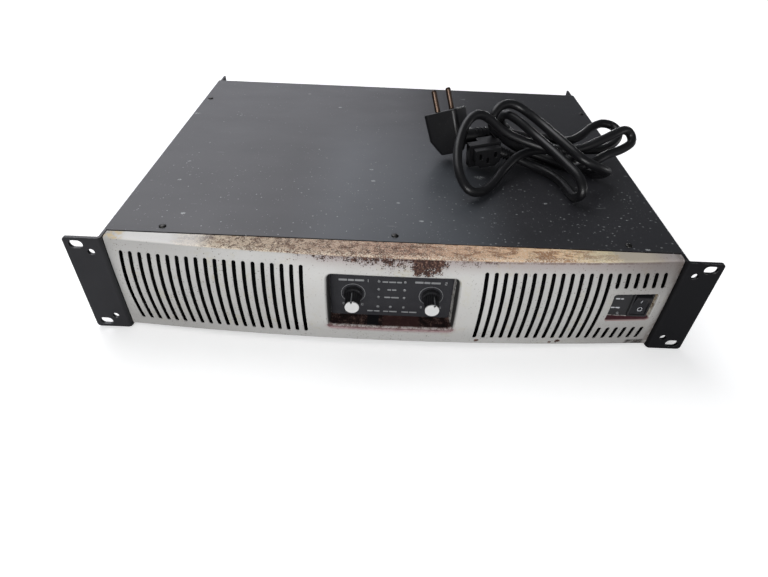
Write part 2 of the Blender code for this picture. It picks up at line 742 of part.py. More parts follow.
def rocker_button(plastic):
    """A rocker with a shallow dished face, tilted to its off position."""
    half = ROCKER_HALF_HEIGHT
    section = [(-6.4 * MM, half), (-6.6 * MM, half - 1.0 * MM)]
    for step in range(1, 8):
        z = (half - 1.0 * MM) * (1 - step / 4)
        dish = 1.6 * MM * (1 - (z / half) ** 2)
        section.append((-6.6 * MM + dish, z))
    section += [(-6.6 * MM, 1.0 * MM - half), (-6.4 * MM, -half)]
    section += [(-2.0 * MM, -half), (5.0 * MM, -5.0 * MM), (5.0 * MM, 5.0 * MM), (-2.0 * MM, half)]
    low, high = -ROCKER_WIDTH / 2, ROCKER_WIDTH / 2
    button = extruded("rocker_button", [section], low, high, ALONG_X, plastic)
    button.location = (ROCKER_X, deep(ROCKER_PIVOT_DEPTH), ROCKER_Z)
    button.rotation_euler = (ROCKER_TILT, 0.0, 0.0)


# ---------------------------------------------------------------- rear


def rear_panel(steel):
    outlines = [rectangle(2 * INNER_HALF_WIDTH, 84.0 * MM, (0.0, 43.9 * MM))]
    for side in (-1, 1):
        outlines.append(circle(FAN_BORE, (side * FAN_X, FAN_Z), 32))
    for group in (INPUT_SOCKETS, LINK_SOCKETS, SPEAKER_SOCKETS):
        for place in group.values():
            outlines.append(circle(SOCKET_BARREL_RADIUS + GAP, place, 20))
    inlet = (INLET_BODY[0] + 2 * GAP, INLET_BODY[1] + 2 * GAP)
    outlines.append(rectangle(*inlet, INLET))
    outlines.append(circle(6.3 * MM, BREAKER, 16))
    outlines.append(rectangle(16.0 * MM, 7.0 * MM, MODE_SWITCH))
    start = deep(REAR_PANEL_DEPTH)
    extruded("rear_panel", outlines, start, start + REAR_SHEET, ALONG_Y, steel)


def socket(name, place, bore, core, plastic):
    """A panel socket: a flange on the rear face and a cup that passes through the panel."""
    x, z = place
    width, height, thick = SOCKET_FLANGE
    face = deep(REAR_FACE) + GAP
    low = (x - width / 2, face, z - height / 2)
    high = (x + width / 2, face + thick, z + height / 2)
    body = box(name, low, high, plastic)
    start, end = (x, deep(REAR_PANEL_DEPTH - 20.0 * MM), z), (x, face + thick / 2, z)
    unite(body, rod(name + "_barrel", SOCKET_BARREL_RADIUS, start, end, segments=20))
    start, end = (x, deep(REAR_PANEL_DEPTH - 14.0 * MM), z), (x, face + thick * 2, z)
    cut(body, rod(name + "_bore", bore, start, end, segments=20))
    if core:
        start, end = (x, deep(REAR_PANEL_DEPTH - 16.0 * MM), z), (x, face + thick * 0.6, z)
        unite(body, rod(name + "_core", core, start, end, segments=12))


def mains_inlet(plastic):
    """A three-pole inlet: bezel, box, a recess open to the rear and three blades in it."""
    x, z = INLET
    width, height = INLET_BODY
    face = deep(REAR_FACE) + GAP
    low = (x - width / 2 - 2.0 * MM, face, z - height / 2 - 2.0 * MM)
    high = (x + width / 2 + 2.0 * MM, face + 2.0 * MM, z + height / 2 + 2.0 * MM)
    body = box("mains_inlet", low, high, plastic)
    low = (x - width / 2, deep(REAR_PANEL_DEPTH - 16.0 * MM), z - height / 2)
    high = (x + width / 2, face + 1.0 * MM, z + height / 2)
    unite(body, box("inlet_case", low, high))
    mouth = (24.6 * MM, 17.0 * MM)
    low = (x - mouth[0] / 2, deep(REAR_PANEL_DEPTH - 13.0 * MM), z - mouth[1] / 2)
    high = (x + mouth[0] / 2, face + 4.0 * MM, z + mouth[1] / 2)
    cut(body, box("inlet_mouth", low, high))
    for number, (across, up) in enumerate(((-7.0, -2.0), (0.0, 2.0), (7.0, -2.0))):
        cx, cz = x + across * MM, z + up * MM
        low = (cx - 1.0 * MM, deep(REAR_PANEL_DEPTH - 14.0 * MM), cz - 2.0 * MM)
        high = (cx + 1.0 * MM, deep(REAR_PANEL_DEPTH - 2.0 * MM), cz + 2.0 * MM)
        unite(body, box(f"inlet_blade_{number}", low, high))


def breaker(plastic, accent):
    """A push-to-reset circuit breaker: threaded neck with a nut, and its button."""
    x, z = BREAKER
    bore = 3.8 * MM
    profile = [
        (bore, 3.0 * MM),
        (8.0 * MM, 3.0 * MM),
        (8.0 * MM, GAP),
        (6.0 * MM, GAP),
        (6.0 * MM, -4.0 * MM),
        (8.5 * MM, -4.0 * MM),
        (8.5 * MM, -28.0 * MM),
        (0.0, -28.0 * MM),
        (0.0, -12.0 * MM),
        (bore, -12.0 * MM),
        (bore, 3.0 * MM),
    ]
    place = (x, deep(REAR_FACE), z)
    turned("breaker_body", profile, place, TO_REAR, plastic, segments=16)
    profile = [
        (0.0, 7.0 * MM),
        (2.6 * MM, 6.6 * MM),
        (3.4 * MM, 5.6 * MM),
        (3.4 * MM, -7.0 * MM),
        (0.0, -7.0 * MM),
    ]
    turned("breaker_button", profile, place, TO_REAR, accent, segments=14)


def mode_switch(metal, plastic):
    """A three-position slide switch behind a slot in the rear panel."""
    x, z = MODE_SWITCH
    inside = deep(REAR_PANEL_DEPTH) - GAP
    low = (x - 11.0 * MM, inside - 9.0 * MM, z - 6.0 * MM)
    high = (x + 11.0 * MM, inside, z + 6.0 * MM)
    body = box("mode_switch_body", low, high, metal)
    low = (x - 7.6 * MM, inside - 5.0 * MM, z - 3.0 * MM)
    high = (x + 7.6 * MM, inside + 5.0 * MM, z + 3.0 * MM)
    cut(body, box("mode_switch_slot", low, high))
    low = (x - 2.8 * MM, inside - 4.6 * MM, z - 2.6 * MM)
    high = (x + 2.8 * MM, deep(REAR_FACE) + 2.5 * MM, z + 2.6 * MM)
    box("mode_switch_slider", low, high, plastic)


def fan_frame(name, side, plastic):
    """A square frame with a round duct, and a motor seat held by four struts."""
    x, z = side * FAN_X, FAN_Z
    back = deep(REAR_PANEL_DEPTH) - GAP
    front = back - FAN_THICKNESS
    outlines = [rectangle(FAN_SIZE, FAN_SIZE, (x, z), 4.0 * MM), circle(FAN_BORE, (x, z), 32)]
    frame = extruded(name, outlines, front, back, ALONG_Y, plastic)
    seat = [circle(17.0 * MM, (x, z), 20)]
    seat_part = extruded(name + "_seat", seat, front, front + 3.0 * MM, ALONG_Y)
    unite(frame, seat_part)
    for strut in range(4):
        angle = math.pi / 4 + math.pi / 2 * strut
        direction = Vector((math.cos(angle), 0.0, math.sin(angle)))
        middle = Vector((x, front + 1.6 * MM, z))
        start, end = middle + direction * 15.0 * MM, middle + direction * 39.5 * MM
        unite(frame, rod(f"{name}_strut_{strut}", 1.5 * MM, start, end, segments=6))
    return frame


def fan_blade(name, angle):
    """One pitched blade, drawn along local +X and turned about local Z."""
    blade = box(name, (12.0 * MM, -0.8 * MM, -7.5 * MM), (35.5 * MM, 0.8 * MM, 7.5 * MM))
    pitch = Matrix.Rotation(math.radians(52.0), 4, "X")
    blade.data.transform(Matrix.Rotation(angle, 4, "Z") @ pitch)
    return blade


def fan_rotor(name, side, plastic):
    """Hub and blades, one body, on the duct's axis."""
    profile = [
        (0.0, 8.5 * MM),
        (14.0 * MM, 8.5 * MM),
        (16.0 * MM, 7.0 * MM),
        (16.0 * MM, -8.5 * MM),
        (0.0, -8.5 * MM),
    ]
    place = Vector((side * FAN_X, deep(REAR_PANEL_DEPTH) - GAP - FAN_THICKNESS / 2 + 1.5 * MM, FAN_Z))
    rotor = turned(name, profile, place, TO_REAR, plastic, segments=21)
    for number in range(BLADES):
        blade = fan_blade(f"{name}_blade_{number}", 2 * math.pi * number / BLADES)
        blade.location = place
        blade.rotation_euler = TO_REAR
        unite(rotor, blade)


def sector(middle, inner, outer, start, end, steps):
    """Outline of a piece of a ring between two radii and two angles."""
    points = []
    for step in range(steps + 1):
        angle = start + (end - start) * step / steps
        points.append((middle[0] + outer * math.cos(angle), middle[1] + outer * math.sin(angle)))
    for step in range(steps + 1):
        angle = end + (start - end) * step / steps
        points.append((middle[0] + inner * math.cos(angle), middle[1] + inner * math.sin(angle)))
    return points


def fan_guard(name, side, wire):
    """A finger guard of three rings and four spokes in front of the duct."""
    middle = (side * FAN_X, FAN_Z)
    outlines = [circle(39.0 * MM, middle, 32)]
    rings = (13.0, 21.0, 29.0, 37.0)
    for inner, outer in zip(rings, rings[1:]):
        spoke = 1.1 / outer
        for quarter in range(4):
            start = math.pi / 2 * quarter + spoke
            end = math.pi / 2 * (quarter + 1) - spoke
            radii = ((inner + 0.8) * MM, (outer - 0.8) * MM)
            outlines.append(sector(middle, *radii, start, end, 6))
    start = deep(REAR_FACE) + GAP
    extruded(name, outlines, start, start + 1.6 * MM, ALONG_Y, wire)


# ---------------------------------------------------------------- inside


def transformer(winding, steel):
    """A toroid standing flat on the tray, and the dished disc that clamps it."""
    x, y = -135.0 * MM, deep(100.0 * MM)
    profile = []
    for step in range(13):
        angle = math.pi / 2 - 2 * math.pi * step / 12
        profile.append(((40.0 + 20.0 * math.cos(angle)) * MM, 25.0 * MM * math.sin(angle)))
    profile[-1] = profile[0]
    place = (x, y, 28.0 * MM)
    turned("transformer", profile, place, UPWARD, winding, segments=24)
    profile = [
        (0.0, 4.0 * MM),
        (8.0 * MM, 4.0 * MM),
        (34.0 * MM, 2.0 * MM),
        (34.0 * MM, 0.0),
        (5.0 * MM, 0.0),
        (5.0 * MM, -50.0 * MM),
        (0.0, -50.0 * MM),
    ]
    place = (x, y, 54.0 * MM)
    turned("transformer_clamp", profile, place, UPWARD, steel, segments=20)


def capacitor(name, x, depth, sleeve):
    profile = [
        (0.0, 45.0 * MM),
        (15.0 * MM, 45.0 * MM),
        (17.0 * MM, 44.0 * MM),
        (17.0 * MM, 0.0),
        (0.0, 0.0),
    ]
    turned(name, profile, (x, deep(depth), 14.3 * MM), UPWARD, sleeve, segments=16)


def heatsink(name, side, aluminium):
    """An extruded comb: a thick spine with fins on both sides, along the air path."""
    middle = side * FAN_X
    fin, pitch = 1.6 * MM, 6.4 * MM
    spine_low, spine_high = 41.0 * MM, 47.0 * MM
    low, high = 12.0 * MM, 76.0 * MM
    upper, lower = [], []
    for number in range(12):
        x = middle + (number - 5.5) * pitch
        left, right = x - fin / 2, x + fin / 2
        upper += [(left, spine_high), (left, high), (right, high), (right, spine_high)]
        lower += [(left, spine_low), (left, low), (right, low), (right, spine_low)]
    outline = lower + upper[::-1]
    extruded(name, [outline], deep(190.0 * MM), deep(302.0 * MM), ALONG_Y, aluminium)


def boards(green):
    """Circuit boards: supply board in the middle, an amplifier board outside each heatsink."""
    low = (-55.0 * MM, deep(60.0 * MM), 12.0 * MM)
    high = (95.0 * MM, deep(170.0 * MM), 13.6 * MM)
    box("power_board", low, high, green)
    for name, side in (("amp_board_left", -1), ("amp_board_right", 1)):
        edges = sorted((side * 106.0 * MM, side * 206.0 * MM))
        low = (edges[0], deep(185.0 * MM), 40.0 * MM)
        high = (edges[1], deep(300.0 * MM), 41.6 * MM)
        box(name, low, high, green)


def rectifier(plastic):
    low = (60.0 * MM, deep(85.0 * MM), 14.3 * MM)
    high = (88.0 * MM, deep(113.0 * MM), 24.0 * MM)
    box("rectifier", low, high, plastic)


# ---------------------------------------------------------------- mains lead


def lead_waypoints():
    """Waypoints of the cable's middle line: (x, depth, height) in millimetres.

    The list runs from the plug's boot to the connector's boot. Strands that cross keep more
    than a cable's width between their middle lines.
    """
    first_right_loop = (
        (93, 171, 108), (100, 174, 108), (109, 175, 106), (124, 172, 105), (142, 166, 107),
        (160, 165, 105), (176, 176, 106), (188, 187, 110), (200, 194, 112), (210, 192, 111),
        (214, 182, 108), (208, 170, 104), (194, 160, 101), (178, 154, 102), (160, 150, 103),
    )
    left_loop = (
        (143, 148, 103), (127, 146, 103), (110, 136, 101), (96, 119, 97), (84, 99, 93),
        (72, 83, 93), (60, 77, 98), (52, 88, 107), (51, 106, 117), (55, 123, 127),
        (62, 134, 135), (71, 139, 137), (82, 142, 131), (97, 143, 120), (120, 141, 112),
    )
    second_right_loop = (
        (143, 136, 109), (164, 136, 111), (182, 143, 116), (197, 151, 120), (208, 158, 121),
        (215, 159, 117), (216, 154, 111), (206, 148, 106.5), (191, 140, 104.5),
        (173, 129, 100), (160, 138, 92), (140, 154, 92), (117, 164, 96), (99, 162, 107),
    )
    upper_strand = (
        (87, 157, 119), (86, 157, 129), (92, 163, 136), (103, 167, 137), (115, 164, 133),
        (129, 149, 127), (142, 121, 123), (156, 102, 117), (173, 103, 109), (184, 113, 101),
        (180, 127, 91.8), (165, 150, 92), (144, 169, 92), (124, 181, 96), (108, 186, 105),
    )
    lower_strand = (
        (98, 180, 117), (100, 168, 127), (110, 157, 125.5), (124, 140, 119), (134.5, 116, 116.5),
        (143, 97, 113.5), (148.5, 85, 111), (151.5, 77, 106), (152, 74, 99.5), (150, 80, 93.3),
        (148.5, 92, 91.8), (146, 107, 91.8), (141, 120, 91.8), (132.5, 131, 91.8),
        (122, 139, 92.8), (111, 145.5, 95.2),
        (104, 147, 97),
    )
    return first_right_loop + left_loop + second_right_loop + upper_strand + lower_strand


def lead_points():
    return [Vector((x * MM, deep(d * MM), z * MM)) for x, d, z in lead_waypoints()]


def smooth_path(corners, step):
    """Points about one step apart on a Catmull-Rom curve through the corners."""
    first, last = 2 * corners[0] - corners[1], 2 * corners[-1] - corners[-2]
    around = [first, *corners, last]
    path = []
    for before, start, end, after in zip(around, around[1:], around[2:], around[3:]):
        count = max(2, round((end - start).length / step))
        for i in range(count):
            t = i / count
            bend = 2 * before - 5 * start + 4 * end - after
            twist = 3 * start - before - 3 * end + after
            path.append(start + (t * (end - before) + t**2 * bend + t**3 * twist) / 2)
    path.append(corners[-1])
    return path


def mains_cable(rubber):
    path = smooth_path(lead_points(), CABLE_STEP)
    curve = bpy.data.curves.new("mains_cable", "CURVE")
    curve.dimensions = "3D"
    curve.bevel_depth = CABLE_RADIUS
    curve.bevel_resolution = 2
    curve.use_fill_caps = True
    spline = curve.splines.new("POLY")
    spline.points.add(len(path) - 1)
    for point, place in zip(spline.points, path):
        point.co = (*place, 1.0)
    add_part("mains_cable", curve, rubber)


def leaning_frame(middle, side, up):
    """A matrix with local X near side, local Z along up and its origin at middle."""
    up = Vector(up).normalized()
    side = Vector(side)
    side = (side - up * side.dot(up)).normalized()
    across = up.cross(side)
    turn = Matrix((side, across, up)).transposed().to_4x4()
    x, depth, z = middle
    return Matrix.Translation((x, deep(depth), z)) @ turn


def lofted(name, rings, material=None):
    """A closed body through rings that hold equally many points."""
    work = bmesh.new()
    loops = [[work.verts.new(point) for point in ring] for ring in rings]
    for lower, upper in zip(loops, loops[1:]):
        for i in range(len(lower)):
            j = (i + 1) % len(lower)
            work.faces.new((lower[i], lower[j], upper[j], upper[i]))
    work.faces.new(loops[0])
    work.faces.new(loops[-1])
    bmesh.ops.recalc_face_normals(work, faces=work.faces)
    mesh = bpy.data.meshes.new(name)
    work.to_mesh(mesh)
    work.free()
    return add_part(name, mesh, material)


def pin_shape(name, frame, grow, material=None):
    """Two round pins and the bridge that joins them inside the plug, grown by a gap."""
    across = Vector((math.cos(PIN_ANGLE), math.sin(PIN_ANGLE), 0.0)) * PIN_HALF_SPACING
    foot = Vector((0.0, 0.0, -9.0 * MM - grow))
    tip = Vector((0.0, 0.0, PIN_LENGTH + grow))
    radius = PIN_RADIUS + grow
    pins = placed(rod(name, radius, across + foot, across + tip, material, 14), frame)
    other = rod(name + "_other", radius, foot - across, tip - across, None, 14)
    unite(pins, placed(other, frame))
    middle = Vector((0.0, 0.0, -6.0 * MM))
    bridge = rod(name + "_bridge", 1.5 * MM + grow, middle - across, middle + across, None, 8)
    unite(pins, placed(bridge, frame))
    return pins


def plug_body(frame, rubber):
    """The moulded plug: straight sides, a tapered back and a boot that leaves sideways."""
    rings = []
    for height, width, thick in ((0.0, 32.0, 28.0), (-24.0, 31.0, 27.0), (-38.0, 18.0, 18.0)):
        outline = rectangle(width * MM, thick * MM, corner=4.0 * MM)
        rings.append([(x, y, height * MM) for x, y in outline])
    plug = placed(lofted("mains_plug", rings, rubber), frame)
    start = frame @ Vector((5.3 * MM, 5.3 * MM, -26.0 * MM))
    end = lead_points()[0]
    end = end + (start - end).normalized() * GAP
    unite(plug, rod("plug_boot", 6.0 * MM, start, end, None, 14, end_radius=4.4 * MM))
    cut(plug, pin_shape("pin_pocket", frame, GAP))


def mains_plug(rubber, brass):
    frame = leaning_frame(PLUG_FACE, PLUG_SIDE, PLUG_UP)
    plug_body(frame, rubber)
    pin_shape("plug_pins", frame, 0.0, brass)


def mains_connector(rubber):
    """A right-angle appliance connector: nose with three slots, block and boot."""
    forward = -Vector(CONNECTOR_BACK)
    frame = leaning_frame(CONNECTOR_FACE, CONNECTOR_SIDE, forward)
    half, high, chamfer = 12.0 * MM, 8.5 * MM, 4.8 * MM
    outline = [(half, high), (half, chamfer - high), (half - chamfer, -high)]
    outline += [(chamfer - half, -high), (-half, chamfer - high), (-half, high)]
    rings = [[(x, y, height) for x, y in outline] for height in (0.0, -9.0 * MM)]
    body = placed(lofted("mains_connector", rings, rubber), frame)
    low, high = (-15.0 * MM, -10.5 * MM, -16.0 * MM), (15.0 * MM, 10.5 * MM, -8.0 * MM)
    unite(body, placed(box("connector_block", low, high), frame))
    low, high = (-3.0 * MM, -8.0 * MM, -25.0 * MM), (14.0 * MM, 9.0 * MM, -15.0 * MM)
    unite(body, placed(box("connector_hub", low, high), frame))
    start = frame @ Vector((8.0 * MM, 0.0, -18.0 * MM))
    end = lead_points()[-1]
    end = end + (start - end).normalized() * GAP
    unite(body, rod("connector_boot", 5.6 * MM, start, end, None, 14, end_radius=4.4 * MM))
    for number, (x, y) in enumerate(((-7.0, 2.2), (7.0, 2.2), (0.0, -2.2))):
        low = ((x - 1.1) * MM, (y - 2.5) * MM, -7.0 * MM)
        high = ((x + 1.1) * MM, (y + 2.5) * MM, 1.0 * MM)
        cut(body, placed(box(f"connector_slot_{number}", low, high), frame))


def build():
    lid_paint = finish("lid_paint", (0.075, 0.075, 0.080), 0.55)
    ear_paint = finish("ear_paint", (0.045, 0.045, 0.050), 0.45)
    silver_paint = finish("silver_paint", (0.43, 0.42, 0.40), 0.45, 0.5)
    bare_steel = finish("bare_steel", (0.42, 0.42, 0.43), 0.4, 1.0)
    dark_screw = finish("dark_screw", (0.10, 0.10, 0.10), 0.5, 0.8)
    gloss_black = finish("gloss_black", (0.02, 0.02, 0.022), 0.18)
    matt_black = finish("matt_black", (0.02, 0.02, 0.02), 0.6)
    foam = finish("foam", (0.012, 0.012, 0.012), 0.95)
    cap_silver = finish("cap_silver", (0.75, 0.75, 0.74), 0.35, 0.3)
    clear = finish("clear_guide", (0.55, 0.57, 0.58), 0.2)
    green_board = finish("green_board", (0.03, 0.14, 0.06), 0.5)
    aluminium = finish("aluminium", (0.62, 0.62, 0.63), 0.35, 1.0)
    copper = finish("winding", (0.45, 0.22, 0.08), 0.4, 0.6)
    red = finish("red_button", (0.35, 0.02, 0.02), 0.4)
    rubber = finish("lead_rubber", (0.018, 0.018, 0.020), 0.45)
    brass = finish("pin_brass", (0.42, 0.30, 0.18), 0.35, 0.9)

    base_tray(bare_steel)
    side_plate("side_plate_left", -1, ear_paint)
    side_plate("side_plate_right", 1, ear_paint)
    top_cover(lid_paint)
    lid_screws(dark_screw)
    front_panel(silver_paint)
    control_plate(gloss_black)
    light_guide(clear)
    control_board(green_board)
    switch_plate(matt_black)
    standby_light(clear)
    filter_pads(foam)
    for word, side in (("left", -1), ("right", 1)):
        knob(f"level_knob_{word}", side, KNOB_TURN[word], matt_black)
        knob_cap(f"knob_cap_{word}", side, KNOB_TURN[word], cap_silver)
        potentiometer(f"potentiometer_{word}", side, bare_steel)
        pot_shaft(f"pot_shaft_{word}", side, bare_steel)
        fan_frame(f"fan_frame_{word}", side, matt_black)
        fan_rotor(f"fan_rotor_{word}", side, matt_black)
        fan_guard(f"fan_guard_{word}", side, bare_steel)
        heatsink(f"heatsink_{word}", side, aluminium)
        socket(f"input_socket_{word}", INPUT_SOCKETS[word], 9.4 * MM, 0.0, matt_black)
        socket(f"link_socket_{word}", LINK_SOCKETS[word], 9.4 * MM, 0.0, matt_black)
        socket(f"speaker_socket_{word}", SPEAKER_SOCKETS[word], 9.8 * MM, 5.0 * MM, matt_black)
    rocker_housing(matt_black)
    rocker_button(gloss_black)
    rear_panel(ear_paint)
    mains_inlet(matt_black)
    breaker(matt_black, red)
    mode_switch(bare_steel, matt_black)
    transformer(copper, bare_steel)
    capacitor("capacitor_left", -20.0 * MM, 95.0 * MM, matt_black)
    capacitor("capacitor_right", 25.0 * MM, 95.0 * MM, matt_black)
    rectifier(matt_black)
    boards(green_board)
    mains_cable(rubber)
    mains_plug(rubber, brass)
    mains_connector(rubber)


clear_scene()
PARTS = new_collection("power_amplifier")
TOOLS = new_collection("tools")
build()
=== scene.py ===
"""Looks of the rack power amplifier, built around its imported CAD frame.

Shape functions take millimetres: x across, depth behind the rack ears' front plane, z up.
world() turns such a point into the frame's metres.
"""

import json
import math

import bmesh
import bpy
from mathutils import Matrix, Vector

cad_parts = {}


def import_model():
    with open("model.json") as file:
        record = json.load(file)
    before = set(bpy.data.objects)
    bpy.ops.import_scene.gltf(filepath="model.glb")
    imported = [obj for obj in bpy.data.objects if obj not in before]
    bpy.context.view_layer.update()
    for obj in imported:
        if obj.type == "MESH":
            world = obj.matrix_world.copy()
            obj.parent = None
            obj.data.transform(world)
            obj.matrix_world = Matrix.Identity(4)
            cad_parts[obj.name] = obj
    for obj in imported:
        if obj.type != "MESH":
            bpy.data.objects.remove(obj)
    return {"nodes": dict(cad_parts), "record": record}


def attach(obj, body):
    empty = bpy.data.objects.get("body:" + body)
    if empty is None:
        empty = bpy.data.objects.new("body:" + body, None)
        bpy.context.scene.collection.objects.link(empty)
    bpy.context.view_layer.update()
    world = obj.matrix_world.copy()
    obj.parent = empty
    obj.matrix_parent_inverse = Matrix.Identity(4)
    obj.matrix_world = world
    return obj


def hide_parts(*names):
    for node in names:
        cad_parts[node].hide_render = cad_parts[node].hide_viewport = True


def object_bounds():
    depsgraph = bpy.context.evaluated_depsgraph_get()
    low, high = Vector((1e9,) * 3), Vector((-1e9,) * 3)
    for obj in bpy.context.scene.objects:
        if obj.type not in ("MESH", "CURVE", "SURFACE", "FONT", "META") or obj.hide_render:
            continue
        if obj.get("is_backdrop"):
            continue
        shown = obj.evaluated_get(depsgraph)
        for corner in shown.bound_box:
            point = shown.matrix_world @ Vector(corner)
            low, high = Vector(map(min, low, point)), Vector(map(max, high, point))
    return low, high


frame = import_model()
CAD_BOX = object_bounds()

MM = 0.001
EAR_PLANE_Y = -176.0
RACK_HEIGHT = 88.1
SIDE_REAR_DEPTH = 361.0
LID_TOP = 87.7
LID_EDGE_DEPTH = 12.7
PANEL_HALF_WIDTH = 212.9
SIDE_INNER_X = 213.4
EAR_EDGE_X = 241.3
PANEL_LIP_DEPTH = 11.0
PANEL_END_START = 202.4
PANEL_END_FADE = -0.88
PANEL_ARCH = (-41.1, 61.9, -19.8)
CREASE_DEPTH = -7.4
PLAN_BOW = 0.00024

CONTROL = (-0.3, 46.5, 100.6, 56.0, 5.5)
CONTROL_INNER = (-0.8, 46.1, 95.4, 50.4, 3.0)
CONTROL_DEPTH = 4.0
SWITCH = (183.05, 48.5, 35.5, 27.6, 2.4)
SWITCH_INNER = (182.6, 48.6, 33.8, 25.2, 1.6)
SWITCH_DEPTH = -1.0

VENT_X = [67.4 + 7.0 * n for n in range(20)]
VENT_WIDTH = 3.0
KNOB_X = 30.5
KNOB_Z = 43.0
KNOB_TURN = {"left": -8.0, "right": 23.0}
ROCKER = (191.6, 3.0, 48.5)
LID_SCREWS = ((-174.8, 20.0), (0.0, 20.0), (176.8, 20.0), (-209.6, 280.0), (209.6, 280.0))


def world(x, depth, z):
    return Vector((x, depth + EAR_PLANE_Y, z)) * MM


def crease_depth(x):
    return CREASE_DEPTH + PLAN_BOW * x * x


def face_depth(x, z):
    """The panel's arch below its crease; it fades over the last centimetre of both ends."""
    fall = (LID_TOP - z) / LID_TOP
    arch = sum(factor * fall**power for power, factor in enumerate(PANEL_ARCH, 1))
    into_end = max(0.0, abs(x) - PANEL_END_START) / (PANEL_HALF_WIDTH - PANEL_END_START)
    return crease_depth(x) + arch * (1.0 + PANEL_END_FADE * into_end**2)


# ---------------------------------------------------------------- finishes


class Finish:
    """One procedural material. Its methods add nodes and return an output socket."""

    def __init__(self, name, roughness=0.5, metallic=0.0, specular=0.5):
        self.material = bpy.data.materials.new(name)
        self.material.use_nodes = True
        self.nodes = self.material.node_tree.nodes
        self.links = self.material.node_tree.links
        self.shader = self.nodes["Principled BSDF"]
        self.set("Roughness", roughness)
        self.set("Metallic", metallic)
        self.set("Specular IOR Level", specular)
        place = self.nodes.new("ShaderNodeTexCoord").outputs["Object"]
        self.place = self.enlarged(place, 1000.0)

    def put(self, socket, value):
        if isinstance(value, bpy.types.NodeSocket):
            self.links.new(value, socket)
        elif isinstance(value, (tuple, list)) and len(value) == 3 and socket.type == "RGBA":
            socket.default_value = (*value, 1.0)
        else:
            socket.default_value = value

    def set(self, name, value):
        self.put(self.shader.inputs[name], value)

    def node(self, kind, result, operation=None, **inputs):
        node = self.nodes.new(kind)
        if operation:
            node.operation = operation
        for name, value in inputs.items():
            self.put(node.inputs[name.replace("_", " ")], value)
        return node.outputs[result]

    def enlarged(self, vector, factor):
        return self.node("ShaderNodeVectorMath", "Vector", operation="SCALE", Vector=vector, Scale=factor)

    def calc(self, operation, first, second=0.0, third=0.0, clamp=False):
        node = self.nodes.new("ShaderNodeMath")
        node.operation = operation
        node.use_clamp = clamp
        for socket, value in zip(node.inputs, (first, second, third)):
            self.put(socket, value)
        return node.outputs[0]

    def times(self, first, *others):
        for other in others:
            first = self.calc("MULTIPLY", first, other)
        return first

    def most(self, first, *others):
        for other in others:
            first = self.calc("MAXIMUM", first, other)
        return first

    def plus(self, first, second):
        return self.calc("ADD", first, second)

    def minus(self, first, second, clamp=False):
        return self.calc("SUBTRACT", first, second, clamp=clamp)

    def scaled(self, value, factor, added):
        """value times factor, plus added."""
        return self.calc("MULTIPLY_ADD", value, factor, added)

    def axes(self):
        node = self.nodes.new("ShaderNodeSeparateXYZ")
        self.links.new(self.place, node.inputs[0])
        return node.outputs[0], node.outputs[1], node.outputs[2]

    def stretched(self, x, y, z):
        node = self.nodes.new("ShaderNodeMapping")
        self.links.new(self.place, node.inputs["Vector"])
        node.inputs["Scale"].default_value = (1.0 / x, 1.0 / y, 1.0 / z)
        return node.outputs[0]

    def noise(self, size, detail=3.0, rough=0.55, vector=None, warp=0.0):
        """Noise whose features are about size millimetres wide."""
        vector = self.place if vector is None else vector
        return self.node(
            "ShaderNodeTexNoise", "Fac", Vector=vector, Scale=1.0 / size, Detail=detail,
            Roughness=rough, Distortion=warp,
        )

    def grains(self, size):
        """Fine noise, noise of a given size, and a blend of the two."""
        fine = self.noise(0.9, 3.0, 0.7)
        middle = self.noise(size, 3.0, 0.6)
        return fine, middle, self.scaled(fine, 0.55, self.times(middle, 0.45))

    def cells(self, size, vector=None):
        vector = self.place if vector is None else vector
        return self.node("ShaderNodeTexVoronoi", "Distance", Vector=vector, Scale=1.0 / size)

    def flecks(self, spacing, radius, share, stretch=(1.0, 1.0, 1.0)):
        """Ragged dots about radius wide, in a share of cells that are spacing apart."""
        place = self.stretched(*stretch)
        ragged = self.node(
            "ShaderNodeTexNoise", "Color", Vector=place, Scale=1.0 / radius, Detail=2.0, Roughness=0.6,
        )
        shake = self.enlarged(ragged, 1.1 * radius)
        moved = self.node("ShaderNodeVectorMath", "Vector", operation="ADD", Vector=place)
        self.links.new(shake, moved.node.inputs[1])
        cell = self.nodes.new("ShaderNodeTexVoronoi")
        self.links.new(moved, cell.inputs["Vector"])
        cell.inputs["Scale"].default_value = 1.0 / spacing
        close = self.step(cell.outputs["Distance"], radius / spacing, 0.6 * radius / spacing)
        pick = self.nodes.new("ShaderNodeSeparateColor")
        self.links.new(cell.outputs["Color"], pick.inputs[0])
        chosen = self.step(pick.outputs[0], share + 0.02, share - 0.02)
        return self.times(close, chosen)

    def step(self, value, low, high):
        """0 below low and 1 above high, smooth between them; high may be the lower one."""
        node = self.nodes.new("ShaderNodeMapRange")
        node.interpolation_type = "SMOOTHSTEP"
        self.put(node.inputs["Value"], value)
        self.put(node.inputs["From Min"], min(low, high))
        self.put(node.inputs["From Max"], max(low, high))
        if high < low:
            node.inputs["To Min"].default_value = 1.0
            node.inputs["To Max"].default_value = 0.0
        return node.outputs["Result"]

    def near(self, value, middle, reach, soft):
        """1 within reach of middle, falling to 0 over soft beyond it."""
        away = self.calc("ABSOLUTE", self.minus(value, middle))
        return self.step(away, reach + soft, reach)

    def mix(self, factor, first, second, blend="MIX"):
        node = self.nodes.new("ShaderNodeMix")
        node.data_type = "RGBA"
        node.blend_type = blend
        self.put(node.inputs[0], factor)
        self.put(node.inputs[6], first)
        self.put(node.inputs[7], second)
        return node.outputs[2]

    def tint(self, color, target, *masks):
        """Turns a colour towards a target where all masks are high."""
        return self.mix(self.times(*masks), color, target)

